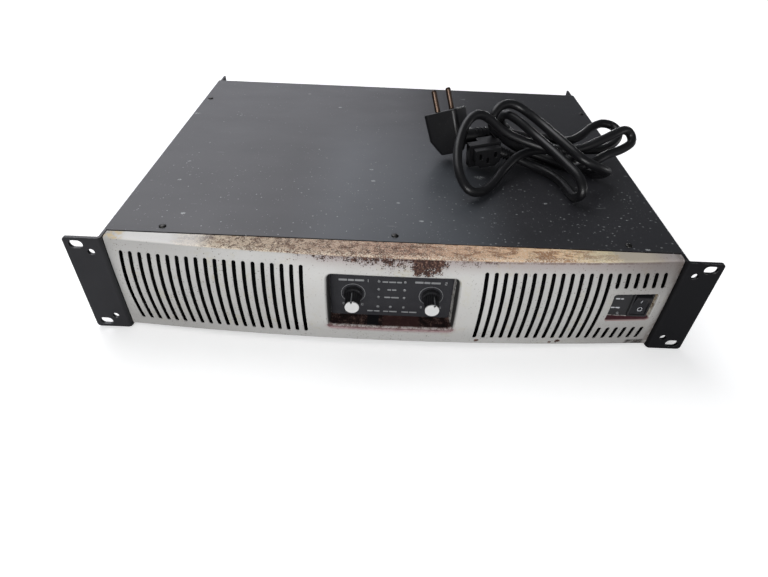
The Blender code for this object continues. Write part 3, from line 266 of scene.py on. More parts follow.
    def ramp(self, value, *stops):
        node = self.nodes.new("ShaderNodeValToRGB")
        elements = node.color_ramp.elements
        while len(elements) < len(stops):
            elements.new(0.5)
        for element, (position, color) in zip(elements, stops):
            element.position = position
            element.color = (*color, 1.0)
        self.put(node.inputs[0], value)
        return node.outputs[0]

    def bump(self, height, distance, strength=1.0):
        """Adds relief; distance is in millimetres."""
        node = self.nodes.new("ShaderNodeBump")
        self.put(node.inputs["Height"], height)
        node.inputs["Distance"].default_value = distance * MM
        node.inputs["Strength"].default_value = strength
        previous = self.shader.inputs["Normal"]
        if previous.links:
            self.links.new(previous.links[0].from_socket, node.inputs["Normal"])
        self.links.new(node.outputs[0], previous)

    def edges(self, radius):
        """About 0 on flat areas and up to 1 on outer edges, from a rounded normal."""
        bevel = self.nodes.new("ShaderNodeBevel")
        bevel.samples = 4
        bevel.inputs["Radius"].default_value = radius * MM
        normal = self.nodes.new("ShaderNodeNewGeometry").outputs["Normal"]
        dot = self.node("ShaderNodeVectorMath", "Value", operation="DOT_PRODUCT")
        self.links.new(bevel.outputs[0], dot.node.inputs[0])
        self.links.new(normal, dot.node.inputs[1])
        return self.minus(1.0, dot, clamp=True)


def outline_distance(f, x, z, opening):
    """Distance in millimetres from an opening's rounded outline, negative inside it."""
    middle_x, middle_z, width, height, corner = opening
    parts = []
    for value, middle, size in ((x, middle_x, width), (z, middle_z, height)):
        away = f.calc("ABSOLUTE", f.minus(value, middle))
        parts.append(f.minus(away, size / 2 - corner))
    out_x, out_z = [f.most(part, 0.0) for part in parts]
    length = f.calc("SQRT", f.scaled(out_x, out_x, f.times(out_z, out_z)))
    inside = f.calc("MINIMUM", f.most(*parts), 0.0)
    return f.minus(f.plus(length, inside), corner)


def behind_face(f, x, y, z):
    """How many millimetres a point lies behind the panel's outer face."""
    fall = f.calc("DIVIDE", f.minus(LID_TOP, z), LID_TOP)
    first, second, third = PANEL_ARCH
    arch = f.times(fall, f.scaled(fall, f.scaled(fall, third, second), first))
    length = PANEL_HALF_WIDTH - PANEL_END_START
    into_end = f.calc("DIVIDE", f.minus(f.calc("ABSOLUTE", x), PANEL_END_START), length, clamp=True)
    fade = f.scaled(f.times(into_end, into_end), PANEL_END_FADE, 1.0)
    face = f.scaled(arch, fade, f.scaled(f.times(x, x), PLAN_BOW, CREASE_DEPTH))
    return f.minus(f.minus(y, EAR_PLANE_Y), face)


def silver_paint(f):
    """Fine silver paint with soft clouds, yellowish stains and dark specks."""
    flake = f.noise(0.5, 2.0, 0.7)
    cloud = f.noise(40.0, 2.0)
    paint = f.mix(flake, (0.39, 0.385, 0.37), (0.55, 0.545, 0.53))
    paint = f.tint(paint, (0.40, 0.395, 0.385), f.step(cloud, 0.35, 0.7), 0.25)
    stain = (f.step(f.noise(16.0, 3.0), 0.55, 0.70), f.step(f.noise(2.5, 3.0), 0.40, 0.6))
    paint = f.tint(paint, (0.42, 0.38, 0.26), *stain, 0.5)
    speck = f.times(f.flecks(2.2, 0.55, 0.6), f.step(f.noise(17.0, 3.0, 0.65), 0.40, 0.56))
    grit = f.times(f.flecks(1.6, 0.36, 0.5), f.step(f.noise(12.0, 3.0, 0.65), 0.40, 0.58), 0.8)
    return f.tint(paint, (0.085, 0.06, 0.045), f.most(speck, grit), 0.85), flake


def rusty(f, grain):
    """Loose brown rust: nearly black where the grain is low, tan where it is high."""
    return f.ramp(
        grain,
        (0.42, (0.022, 0.009, 0.007)),
        (0.52, (0.055, 0.023, 0.016)),
        (0.60, (0.12, 0.058, 0.040)),
        (0.70, (0.34, 0.22, 0.17)),
    )


def strip_rust(f, x, y, fine, middle):
    """The rusted top edge: tan at the left, red-brown in the middle, orange and yellow at the right."""
    place = f.calc("DIVIDE", f.plus(x, 180.0), 380.0, clamp=True)
    base = f.ramp(
        place,
        (0.05, (0.62, 0.53, 0.42)),
        (0.20, (0.53, 0.42, 0.31)),
        (0.36, (0.50, 0.36, 0.27)),
        (0.50, (0.50, 0.32, 0.23)),
        (0.64, (0.64, 0.42, 0.27)),
        (0.80, (0.76, 0.54, 0.33)),
        (0.90, (0.60, 0.51, 0.30)),
    )
    patch = f.step(f.noise(8.0, 4.0, 0.62, vector=f.stretched(2.6, 1.0, 1.0), warp=0.3), 0.50, 0.55)
    browns = (0.33, 0.24, 0.17), (0.22, 0.12, 0.085), (0.33, 0.165, 0.075)
    brown = f.ramp(place, *zip((0.10, 0.45, 0.80), browns))
    base = f.tint(base, brown, patch, 0.85)
    dark = f.step(f.scaled(fine, 0.5, f.times(middle, 0.5)), 0.51, 0.455)
    color = f.tint(base, (0.085, 0.038, 0.024), dark, f.scaled(f.step(x, 0.0, 60.0), -0.5, 0.85))
    behind = f.minus(y, f.scaled(f.times(x, x), PLAN_BOW, EAR_PLANE_Y + CREASE_DEPTH))
    worn = f.scaled(f.step(behind, 6.0, 1.0), 0.07, f.noise(1.1, 3.0, 0.75, warp=0.4))
    return f.tint(color, (0.80, 0.72, 0.58), f.step(worn, 0.55, 0.62), 0.75)


def round_spot(f, x, z, middle_x, middle_z, radius):
    """1 at a point of the panel's face, falling to 0 at a radius."""
    away_x = f.minus(x, middle_x)
    away_z = f.minus(z, middle_z)
    square = f.scaled(away_x, away_x, f.times(away_z, away_z))
    return f.step(f.calc("SQRT", square), radius, 0.0)


def stained_paint_with_painted_light(f, x, z, grain, outline):
    """Silver paint with a painted pool of light by the control window, painted shade under the crease, at
    the top left and low down, darker towards the right end, and discoloured near rust.
    """
    across = f.calc("ABSOLUTE", x)
    gritty = f.step(grain, 0.42, 0.54)
    paint, flake = silver_paint(f)
    # Painted shade: a mauve-tinted darkening under the crease from the middle to the right end.
    paint = f.tint(paint, (0.28, 0.21, 0.20), f.step(z, 75.0, 86.5), f.near(x, 75.0, 115.0, 50.0), 0.60)
    # A dark brown grit line just under the crease, partly painted crease shade.
    under_crease = (f.near(z, 86.1, 0.3, 0.7), f.near(x, 95.0, 95.0, 25.0))
    paint = f.tint(paint, (0.14, 0.08, 0.06), *under_crease, gritty, 0.7)
    paint = f.tint(paint, (0.31, 0.20, 0.205), f.step(outline, 3.0, 0.0), f.step(z, 26.0, 20.0), 0.6)
    yellow = (f.near(x, 54.5, 1.0, 3.5), f.near(z, 60.0, 4.0, 14.0))
    paint = f.tint(paint, (0.44, 0.41, 0.28), *yellow, f.step(grain, 0.44, 0.56), 0.6)
    # Painted light: a lighter pool on the face either side of the control window.
    painted_light_pool = (f.near(across, 62.0, 8.0, 30.0), f.near(z, 50.0, 20.0, 16.0))
    paint = f.tint(paint, (0.62, 0.615, 0.595), *painted_light_pool, 0.55)
    # Painted shade: darker at the top left, and low down towards both ends.
    shade_top_left = f.times(f.step(x, -100.0, -170.0), f.step(z, 70.0, 84.0))
    low = f.times(f.step(across, 70.0, 190.0), f.step(z, 38.0, 8.0))
    paint = f.tint(paint, (0.29, 0.28, 0.27), f.most(shade_top_left, low), 0.42)
    dim = (f.step(x, 120.0, 214.0), f.scaled(f.step(z, 50.0, 84.0), 0.45, 0.32), f.step(z, 87.4, 86.4))
    paint = f.tint(paint, (0.11, 0.095, 0.088), *dim)
    return f.tint(paint, (0.10, 0.075, 0.06), f.step(x, 204.0, 212.0), gritty, 0.6), flake


def face_rust(f, x, z, grain, outline):
    """Where the panel's face is rusted: under the crease, on the window's lip and in three chips."""
    amount = f.times(f.near(x, 6.0, 40.0, 60.0), f.step(z, 70.0, 87.0), 0.24)
    for centre, reach, soft, low, high, strength in (
        (-19.0, 6.0, 14.0, 76.0, 86.0, 0.12),
        (-95.0, 35.0, 40.0, 78.0, 87.0, 0.16),
        (120.0, 45.0, 40.0, 80.0, 87.0, 0.14),
        (26.0, 6.0, 10.0, 70.0, 76.0, 0.22),
        (8.0, 8.0, 14.0, 72.0, 75.0, 0.10),
    ):
        amount = f.plus(amount, f.times(f.near(x, centre, reach, soft), f.step(z, low, high), strength))
    amount = f.most(amount, f.times(f.step(outline, 2.5, 0.2), f.step(z, 40.0, 20.0), 0.20))
    for centre_x, centre_z, radius in ((70.0, 8.0, 4.5), (130.5, 6.0, 3.5), (136.5, 7.5, 5.0)):
        amount = f.most(amount, f.times(round_spot(f, x, z, centre_x, centre_z, radius), 0.50))
    return f.step(f.plus(grain, amount), 0.79, 0.84)


def silver_panel_finish():
    """Silver paint rusted along the top edge, above the control window and on its lower lip, with a painted
    highlight on the top strip's left end and painted shade on the slot walls.
    """
    f = Finish("silver_sheet", 0.42)
    x, y, z = f.axes()
    fine, middle, grain = f.grains(4.5)
    outline = outline_distance(f, x, z, CONTROL)
    paint, flake = stained_paint_with_painted_light(f, x, z, grain, outline)
    rust = face_rust(f, x, z, grain, outline)
    color = f.mix(rust, paint, rusty(f, f.noise(1.6, 3.0, 0.7, warp=0.3)))
    corner = (f.near(x, 202.0, 6.0, 3.0), f.step(z, 9.0, 6.5))
    color = f.tint(color, (0.03, 0.025, 0.022), *corner, f.step(grain, 0.40, 0.50))

    on_top = f.step(z, LID_TOP - 1.4, LID_TOP - 0.5)
    cover = f.step(f.scaled(grain, 1.5, f.near(x, 2.0, 142.0, 42.0)), 1.15, 1.45)
    top = f.times(on_top, cover)
    color = f.mix(top, color, strip_rust(f, x, y, fine, middle))
    color = f.tint(color, (0.62, 0.56, 0.40), on_top, f.near(x, 168.0, 16.0, 22.0), 0.45)
    # Painted highlight: the top strip's left end turned near white where it faces up.
    color = f.tint(color, (0.86, 0.84, 0.81), on_top, f.near(x, -172.0, 22.0, 20.0), 0.6)
    far_left = (f.near(x, -206.0, 3.0, 6.0), f.step(f.noise(4.0, 3.0), 0.42, 0.56))
    color = f.tint(color, (0.58, 0.44, 0.20), on_top, *far_left, 0.7)

    # Painted shade: slot walls and the sheet's back, behind the face and below the crease, turn near black
    # with less specular.
    wall = f.times(f.step(behind_face(f, x, y, z), 0.25, 0.75), f.step(z, 84.0, 82.0))
    f.set("Base Color", f.mix(wall, color, (0.004, 0.004, 0.004)))
    matt = f.most(rust, top, wall)
    f.set("Metallic", f.times(f.minus(1.0, matt), 0.08))
    f.set("Specular IOR Level", f.scaled(wall, -0.5, 0.5))
    f.set("Roughness", f.scaled(matt, 0.30, f.scaled(flake, 0.1, 0.50)))
    f.bump(f.times(matt, fine), 0.30, 0.6)
    f.bump(f.noise(6.0, 2.0), 0.06, 0.2)
    return f.material


def recess_floor(f, x, sunk, grain, is_switch):
    """The lower walls: a mauve lip with a painted whitish highlight, then dark rust that is partly painted
    shade; purple in the switch's recess.
    """
    band = f.mix(f.step(grain, 0.44, 0.56), (0.15, 0.075, 0.08), (0.25, 0.165, 0.165))
    # Painted highlight: a whitish band on the rounded lip where it turns up.
    lip_highlight = f.mix(f.step(grain, 0.44, 0.54), (0.20, 0.13, 0.12), (0.60, 0.55, 0.53))
    band = f.mix(f.step(sunk, 1.0, 2.2), band, lip_highlight)
    # Dark rust, partly painted shade on the recess floor.
    rust = f.ramp(
        grain, (0.44, (0.008, 0.005, 0.005)), (0.53, (0.028, 0.013, 0.012)), (0.62, (0.20, 0.13, 0.11)),
    )
    rust = f.tint(rust, (0.060, 0.026, 0.024), f.near(x, 8.0, 13.0, 3.0), 0.8)
    rust = f.mix(f.near(x, -14.4, 4.2, 1.0), rust, (0.008, 0.007, 0.009))
    band = f.mix(f.step(sunk, 2.6, 4.4), band, rust)
    purple = f.mix(grain, (0.030, 0.006, 0.010), (0.14, 0.055, 0.065))
    purple = f.mix(f.step(sunk, 1.6, 0.2), purple, (0.30, 0.21, 0.20))
    return f.mix(is_switch, band, purple)


def recess_finish():
    """Walls of the two pressed recesses: sides darkened as painted shade, a beige right wall in the
    switch's recess that is partly painted light, rusted floors and worn inner edges.
    """
    f = Finish("recess_sheet", 0.5)
    x, y, z = f.axes()
    fine, middle, grain = f.grains(5.0)
    sunk = behind_face(f, x, y, z)
    is_switch = f.step(x, 140.0, 150.0)
    low = f.step(f.minus(z, f.scaled(is_switch, 15.5, 23.0)), 0.5, -1.2)
    # Painted shade: the walls turn dark grey as they sink behind the face.
    deep_shade = f.step(sunk, 0.1, 2.2)
    side = f.mix(grain, (0.030, 0.030, 0.030), (0.075, 0.072, 0.068))
    # The switch recess's right wall: beige with rust streaks, partly painted light on the wall that faces
    # the light.
    beige = f.mix(f.step(grain, 0.46, 0.52), (0.34, 0.27, 0.18), (0.66, 0.62, 0.54))
    beige = f.tint(beige, (0.10, 0.055, 0.02), f.near(z, 49.0, 1.2, 3.0), f.step(middle, 0.44, 0.52))
    side = f.tint(side, beige, is_switch, f.step(x, 196.0, 198.0))
    color = f.mix(deep_shade, silver_paint(f)[0], side)
    color = f.mix(low, color, recess_floor(f, x, sunk, grain, is_switch))

    end = f.minus(y, f.scaled(is_switch, -5.0, EAR_PLANE_Y + CONTROL_DEPTH))
    right_side = f.times(f.step(x, -5.0, 5.0), f.minus(1.0, is_switch))
    worn = f.step(f.plus(end, f.scaled(right_side, 7.0, 1.0)), 0.0, 0.8)
    ragged = f.step(f.noise(2.6, 3.0, 0.7), 0.40, 0.50)
    kept = f.scaled(low, f.minus(is_switch, 1.0), 1.0)
    f.set("Base Color", f.tint(color, (0.74, 0.72, 0.68), worn, ragged, kept, 0.85))
    f.set("Roughness", f.scaled(deep_shade, 0.25, 0.42))
    f.set("Specular IOR Level", f.scaled(deep_shade, -0.3, 0.5))
    f.bump(f.times(deep_shade, fine), 0.25, 0.5)
    return f.material


def lid_finish():
    """Charcoal powder paint with dust flecks, a painted bluish sheen over the middle and front, smears and
    short scratches.
    """
    f = Finish("lid_paint_aged_with_sheen", 0.40)
    x, y, _ = f.axes()
    fine = f.noise(0.8, 2.0, 0.6)
    broad = f.noise(60.0, 3.0)
    color = f.mix(broad, (0.012, 0.012, 0.0145), (0.019, 0.019, 0.0225))
    color = f.tint(color, (0.04, 0.04, 0.043), f.step(fine, 0.5, 0.8), 0.25)
    patch = f.step(f.noise(42.0, 3.0, 0.6), 0.42, 0.62)
    where = f.most(f.scaled(patch, 0.7, 0.1), f.times(f.step(y, 20.0, -120.0), 0.95))
    cluster = f.step(f.noise(7.0, 3.0, 0.7), 0.44, 0.56)
    rubbed = f.times(
        f.step(x, 10.0, 90.0), f.step(y, -10.0, -80.0), f.step(f.noise(16.0, 3.0, 0.65), 0.43, 0.55),
    )
    marks = f.most(
        f.times(f.flecks(2.0, 0.40, 0.30), where, cluster, 0.55),
        f.times(f.flecks(4.6, 0.75, 0.25), where, 0.5),
        f.times(f.flecks(13.0, 1.5, 0.25, stretch=(1.6, 1.0, 1.0)), f.step(fine, 0.36, 0.50), where, 0.7),
        f.times(f.flecks(44.0, 3.4, 0.30, stretch=(1.7, 1.0, 1.0)), f.step(fine, 0.44, 0.60), 0.8),
        f.times(f.flecks(9.0, 0.60, 0.22, stretch=(9.0, 0.6, 1.0)), where, 0.3),
        f.times(f.flecks(2.6, 0.62, 0.45, stretch=(1.8, 1.0, 1.0)), rubbed, f.step(fine, 0.34, 0.54), 0.65),
    )
    # Painted sheen: a bluish lift over the middle and front of the lid.
    painted_sheen = (f.near(x, 5.0, 40.0, 60.0), f.step(y, 110.0, -60.0), f.scaled(broad, 0.6, 0.5))
    color = f.tint(color, (0.068, 0.076, 0.086), *painted_sheen)
    f.set("Base Color", f.mix(marks, color, (0.46, 0.48, 0.48)))
    smear = f.noise(30.0, 4.0, 0.6, vector=f.stretched(2.2, 1.0, 1.0))
    f.set("Roughness", f.scaled(smear, 0.14, 0.33))
    f.bump(f.noise(1.2, 2.0, 0.5), 0.04, 0.3)
    return f.material


def ear_finish():
    """Satin near-black paint, rubbed to grey on its edges and scuffed along the sides, with painted shade
    on the right ear.
    """
    f = Finish("ear_paint_worn_and_shaded", 0.42)
    x, y, _ = f.axes()
    color = f.mix(f.noise(24.0, 3.0), (0.013, 0.013, 0.0145), (0.022, 0.022, 0.025))
    # Painted shade: the right ear darker and less glossy than the left.
    shaded_right_ear = f.times(f.step(x, -50.0, 50.0), f.step(y, -160.0, -170.0))
    color = f.mix(shaded_right_ear, color, (0.005, 0.005, 0.006))
    f.set("Specular IOR Level", f.scaled(shaded_right_ear, -0.22, 0.5))
    worn = (f.step(f.edges(0.6), 0.02, 0.16), f.step(f.noise(3.0, 3.0), 0.45, 0.62))
    color = f.tint(color, (0.22, 0.22, 0.22), *worn, 0.6)
    spots = f.times(f.flecks(9.0, 0.5, 0.25), 0.3)
    scuffs = f.times(f.flecks(26.0, 1.3, 0.35, stretch=(1.0, 6.0, 0.7)), 0.35, f.step(y, -165.0, -150.0))
    f.set("Base Color", f.mix(f.most(spots, scuffs), color, (0.30, 0.29, 0.28)))
    f.set("Roughness", f.scaled(f.noise(5.0, 3.0), 0.16, 0.34))
    f.bump(f.noise(0.9, 2.0), 0.04, 0.3)
    return f.material


def plastic_finish(name, dark, light, roughness, grain=0.6, dust=0.0):
    """Moulded plastic with a fine grain and, if asked, a little dust."""
    f = Finish(name, roughness)
    color = f.mix(f.noise(8.0, 3.0), dark, light)
    if dust:
        specks = f.times(f.step(f.noise(1.2, 4.0, 0.75), 0.60, 0.72), dust)
        color = f.mix(specks, color, (0.30, 0.29, 0.28))
    f.set("Base Color", color)
    f.set("Roughness", f.scaled(f.noise(3.0, 2.0), 0.12, roughness - 0.06))
    f.bump(f.noise(grain, 2.0), 0.03, 0.3)
    return f.material


def metal_finish(name, dark, light, roughness, grain=(1.0, 40.0, 1.0)):
    """Metal with a fine drawn grain and slight stains."""
    f = Finish(name, roughness, metallic=1.0)
    lines = f.noise(0.5, 2.0, 0.6, vector=f.stretched(*grain))
    color = f.mix(f.noise(12.0, 3.0), dark, light)
    f.set("Base Color", color)
    f.set("Roughness", f.scaled(lines, 0.2, roughness - 0.1))
    f.bump(lines, 0.02, 0.3)
    return f.material


def cable_finish():
    """Satin black cable jacket with faint dust and rubbed patches."""
    f = Finish("cable_jacket", 0.40, specular=0.32)
    color = f.mix(f.noise(14.0, 3.0), (0.003, 0.003, 0.0035), (0.006, 0.006, 0.007))
    dust = f.times(f.step(f.noise(1.5, 4.0, 0.7), 0.62, 0.74), 0.16)
    f.set("Base Color", f.mix(dust, color, (0.25, 0.25, 0.25)))
    f.set("Roughness", f.scaled(f.noise(5.0, 3.0), 0.14, 0.31))
    f.bump(f.noise(2.2, 2.0), 0.05, 0.3)
    return f.material


def foam_finish():
    f = Finish("filter_foam", 0.95, specular=0.1)
    f.set("Base Color", f.mix(f.noise(0.9, 2.0), (0.001, 0.001, 0.001), (0.006, 0.006, 0.006)))
    f.bump(f.cells(1.0), 0.5, 0.8)
    return f.material


def board_finish():
    f = Finish("circuit_board", 0.4)
    tracks = f.step(f.cells(4.0, vector=f.stretched(1.0, 3.0, 1.0)), 0.30, 0.34)
    f.set("Base Color", f.mix(tracks, (0.02, 0.10, 0.045), (0.03, 0.15, 0.07)))
    return f.material


def winding_finish():
    f = Finish("copper_winding", 0.35, metallic=0.6)
    turns = f.noise(1.0, 2.0, 0.5, vector=f.stretched(1.0, 1.0, 30.0))
    f.set("Base Color", f.mix(turns, (0.32, 0.13, 0.05), (0.60, 0.30, 0.12)))
    f.bump(turns, 0.2, 0.5)
    return f.material


def finishes():
    return {
        "silver": silver_panel_finish(),
        "recess": recess_finish(),
        "lid": lid_finish(),
        "ear": ear_finish(),
        "plate": plastic_finish(
            "gloss_plate", (0.022, 0.022, 0.025), (0.034, 0.034, 0.038), 0.20, dust=0.08
        ),
        "rocker": plastic_finish(
            "rocker_plastic", (0.012, 0.012, 0.014), (0.02, 0.02, 0.022), 0.22, dust=0.10
        ),
        "black": plastic_finish("black_plastic", (0.014, 0.014, 0.015), (0.028, 0.028, 0.030), 0.48),
        "knob": plastic_finish(
            "knob_plastic", (0.008, 0.008, 0.009), (0.016, 0.016, 0.018), 0.30, dust=0.15
        ),
        "cap": plastic_finish("cap_disc", (0.60, 0.60, 0.59), (0.73, 0.73, 0.72), 0.38),
        "print": plastic_finish("printed_ink", (0.36, 0.37, 0.39), (0.54, 0.55, 0.57), 0.5, grain=0.9),
        "dim_print": plastic_finish("faded_ink", (0.16, 0.165, 0.17), (0.28, 0.285, 0.29), 0.5, grain=0.9),
        "window": plastic_finish("light_window", (0.12, 0.125, 0.13), (0.19, 0.195, 0.20), 0.25),
        "red": plastic_finish("red_button_plastic", (0.30, 0.015, 0.012), (0.42, 0.03, 0.02), 0.35),
        "steel": metal_finish("plated_steel", (0.42, 0.42, 0.41), (0.58, 0.58, 0.57), 0.36),
        "screw": metal_finish("dark_screw_metal", (0.02, 0.02, 0.02), (0.06, 0.058, 0.055), 0.36),
        "brass": metal_finish(
            "pin_metal", (0.045, 0.03, 0.022), (0.15, 0.105, 0.08), 0.34, (1.0, 1.0, 20.0)
        ),
        "aluminium": metal_finish("extruded_aluminium", (0.55, 0.55, 0.56), (0.70, 0.70, 0.71), 0.34),
        "cable": cable_finish(),
        "foam": foam_finish(),
        "board": board_finish(),
        "winding": winding_finish(),
    }


# ---------------------------------------------------------------- shapes


def link(name, data):
    obj = bpy.data.objects.new(name, data)
    bpy.context.scene.collection.objects.link(obj)
    return obj


def add_object(name, data, material):
    data.materials.append(material)
    return link(name, data)


def from_work(name, work, material):
    mesh = bpy.data.meshes.new(name)
    work.to_mesh(mesh)
    work.free()
    return add_object(name, mesh, material)


def bake(obj):
    """Replaces an object's data by the mesh its modifiers make; a curve becomes a new object."""
    bpy.context.view_layer.update()
    depsgraph = bpy.context.evaluated_depsgraph_get()
    mesh = bpy.data.meshes.new_from_object(obj.evaluated_get(depsgraph))
    if obj.type == "CURVE":
        name = obj.name
        bpy.data.objects.remove(obj, do_unlink=True)
        return link(name, mesh)
    obj.modifiers.clear()
    obj.data = mesh
    return obj


def smooth(obj, angle=32.0):
    """Smooth shading between sharp edges, with large flat faces kept flat."""
    for polygon in obj.data.polygons:
        polygon.use_smooth = True
    obj.data.set_sharp_from_angle(angle=math.radians(angle))
    weighted = obj.modifiers.new("flat", "WEIGHTED_NORMAL")
    weighted.keep_sharp = True
    bake(obj)
    return obj


def rounded(obj, width, segments=2, angle=40.0):
    """Rounds sharp edges and smooths the rest."""
    bevel = obj.modifiers.new("round", "BEVEL")
    bevel.width = width * MM
    bevel.segments = segments
    bevel.angle_limit = math.radians(angle)
    bake(obj)
    return smooth(obj)


def join_shapes(obj, tool, operation):
    modifier = obj.modifiers.new("join", "BOOLEAN")
    modifier.operation = operation
    modifier.solver = "MANIFOLD"
    modifier.object = tool
    bake(obj)
    bpy.data.objects.remove(tool, do_unlink=True)
    return obj


def cut(obj, tool):
    return join_shapes(obj, tool, "DIFFERENCE")


def unite(obj, tool):
    return join_shapes(obj, tool, "UNION")


def cuboid(name, low, high, material, place=None):
    """A box between two corners in millimetres, in the frame or in a local frame."""
    low, high = Vector(low), Vector(high)
    work = bmesh.new()
    bmesh.ops.create_cube(work, size=1.0)
    bmesh.ops.scale(work, vec=high - low, verts=work.verts)
    bmesh.ops.translate(work, vec=(low + high) / 2, verts=work.verts)
    settle_points(work, place)
    return from_work(name, work, material)


def islands(work):
    """Groups of connected faces."""
    left = set(work.faces)
    while left:
        group = [left.pop()]
        for face in group:
            for edge in face.edges:
                for other in edge.link_faces:
                    if other in left:
                        left.discard(other)
                        group.append(other)
        yield group


def face_outward(work):
    """Turns every closed island's faces outward."""
    bmesh.ops.recalc_face_normals(work, faces=work.faces)
    for group in islands(work):
        volume = 0.0
        for face in group:
            middle = face.calc_center_median()
            volume += face.normal.dot(middle) * face.calc_area()
        if volume < 0.0:
            bmesh.ops.reverse_faces(work, faces=group)


def settle_points(work, place=None):
    """Takes closed shapes from millimetres to metres: by a local frame, or by world()."""
    face_outward(work)
    for vertex in work.verts:
        vertex.co = place @ (vertex.co * MM) if place else world(*vertex.co)


def skin(work, rings):
    """Faces between neighbouring rings of vertices; a ring may be a single vertex."""
    for first, second in zip(rings, rings[1:]):
        count = max(len(first), len(second))
        for i in range(count):
            j = (i + 1) % count
            corners = [first[i % len(first)], first[j % len(first)]]
            corners += [second[j % len(second)], second[i % len(second)]]
            work.faces.new(dict.fromkeys(corners))


def lathe(name, profile, place, material, segments=48, ripple=None):
    """A profile of (radius, height) turned about local Z; ripple(height, angle) alters radii."""
    work = bmesh.new()
    rings = []
    for radius, height in profile:
        ring = []
        for i in range(segments if radius > 0.0 else 1):
            angle = 2 * math.pi * i / segments
            r = radius - (ripple(height, angle) if ripple and radius > 0.0 else 0.0)
            ring.append(work.verts.new((r * math.cos(angle), r * math.sin(angle), height)))
        rings.append(ring)
    skin(work, rings)
    settle_points(work, place)
    return from_work(name, work, material)


def loft(name, rings, material, place=None, capped=True):
    work = bmesh.new()
    loops = [[work.verts.new(point) for point in ring] for ring in rings]
    skin(work, loops)
    if capped:
        work.faces.new(loops[0])
        work.faces.new(loops[-1])
    settle_points(work, place)
    return from_work(name, work, material)


def arc(middle, radius, start, turn, steps):
    """Points of an arc about a middle; a single point when steps is 0."""
    angles = [start + turn * step / max(steps, 1) for step in range(steps + 1)]
    return [(middle[0] + radius * math.cos(a), middle[1] + radius * math.sin(a)) for a in angles]


def circle(radius, middle=(0.0, 0.0), points=32):
    return arc(middle, radius, 0.0, 2 * math.pi, points)[:-1]


def rectangle(x, z, width, height, corner=0.0, steps=6, pieces=1):
    """A rounded rectangle's outline whose straight sides are split into pieces."""
    arcs = []
    for quarter, (sx, sz) in enumerate(((1, 1), (-1, 1), (-1, -1), (1, -1))):
        middle = (x + sx * (width / 2 - corner), z + sz * (height / 2 - corner))
        arcs.append(arc(middle, corner, quarter * math.pi / 2, math.pi / 2, steps if corner > 0.0 else 0))
    points = []
    for first, following in zip(arcs, arcs[1:] + arcs[:1]):
        (ax, az), (bx, bz) = first[-1], following[0]
        points += first
        points += [(ax + (bx - ax) * i / pieces, az + (bz - az) * i / pieces) for i in range(1, pieces)]
    return points


def stadium(x, low, high, width, steps=8):
    """An upright slot with round ends."""
    radius = width / 2
    upper = arc((x, high - radius), radius, 0.0, math.pi, steps)
    return upper + arc((x, low + radius), radius, math.pi, math.pi, steps)


def slab(name, outlines, low, high, material, axis="Y", place=None):
    """Flat outlines, holes included, extruded from low to high along an axis, in millimetres."""
    curve = bpy.data.curves.new(name, "CURVE")
    curve.dimensions = "2D"
    curve.fill_mode = "BOTH"
    curve.extrude = abs(high - low) / 2
    for outline in outlines:
        spline = curve.splines.new("POLY")
        spline.points.add(len(outline) - 1)
        for point, (u, v) in zip(spline.points, outline):
            point.co = (u, v, 0.0, 1.0)
        spline.use_cyclic_u = True
    obj = bake(add_object(name, curve, material))
    work = bmesh.new()
    work.from_mesh(obj.data)
    bmesh.ops.remove_doubles(work, verts=work.verts, dist=0.004)
    for vertex in work.verts:
        u, v, w = vertex.co
        w += (low + high) / 2
        vertex.co = {"X": (w, u, v), "Y": (u, w, v), "Z": (u, v, w)}[axis]
    settle_points(work, place)
    work.to_mesh(obj.data)
    work.free()
    return obj


def wire(name, points, radius, material, sides):
    """A round wire through points in metres."""
    curve = bpy.data.curves.new(name, "CURVE")
    curve.dimensions = "3D"
    curve.bevel_depth = radius * MM
    curve.bevel_resolution = sides
    curve.use_fill_caps = True
    spline = curve.splines.new("POLY")
    spline.points.add(len(points) - 1)
    for point, place in zip(spline.points, points):
        point.co = (*place, 1.0)
    return smooth(bake(add_object(name, curve, material)), 60.0)


def merge(name, objects):
    """Joins several objects into one, with the first one's material."""
    work = bmesh.new()
    for obj in objects:
        work.from_mesh(obj.data)
    merged = from_work(name, work, objects[0].data.materials[0])
    for obj in objects:
        bpy.data.objects.remove(obj, do_unlink=True)
    return merged


def show(obj, body, slot, *nodes):
    """Puts a finished piece on its body, in place of the CAD nodes it stands for."""
    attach(obj, body)
    if nodes:
        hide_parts(*nodes)
    return obj


FACING = {"front": Matrix.Rotation(math.pi / 2, 4, "X"), "up": Matrix.Identity(4)}


def spot(x, depth, z, facing):
    """A local frame at a point whose Z axis faces front or up."""
    return Matrix.Translation(world(x, depth, z)) @ FACING[facing]


# ---------------------------------------------------------------- front panel


def bezier(first, middle, last, steps):
    """Points between the ends of a curve bent towards a middle."""
    points = []
    for i in range(1, steps):
        t = i / steps
        parts = ((1 - t) ** 2, 2 * (1 - t) * t, t * t)
        axes = zip(first, middle, last)
        points.append(tuple(sum(p * v for p, v in zip(parts, values)) for values in axes))
    return points


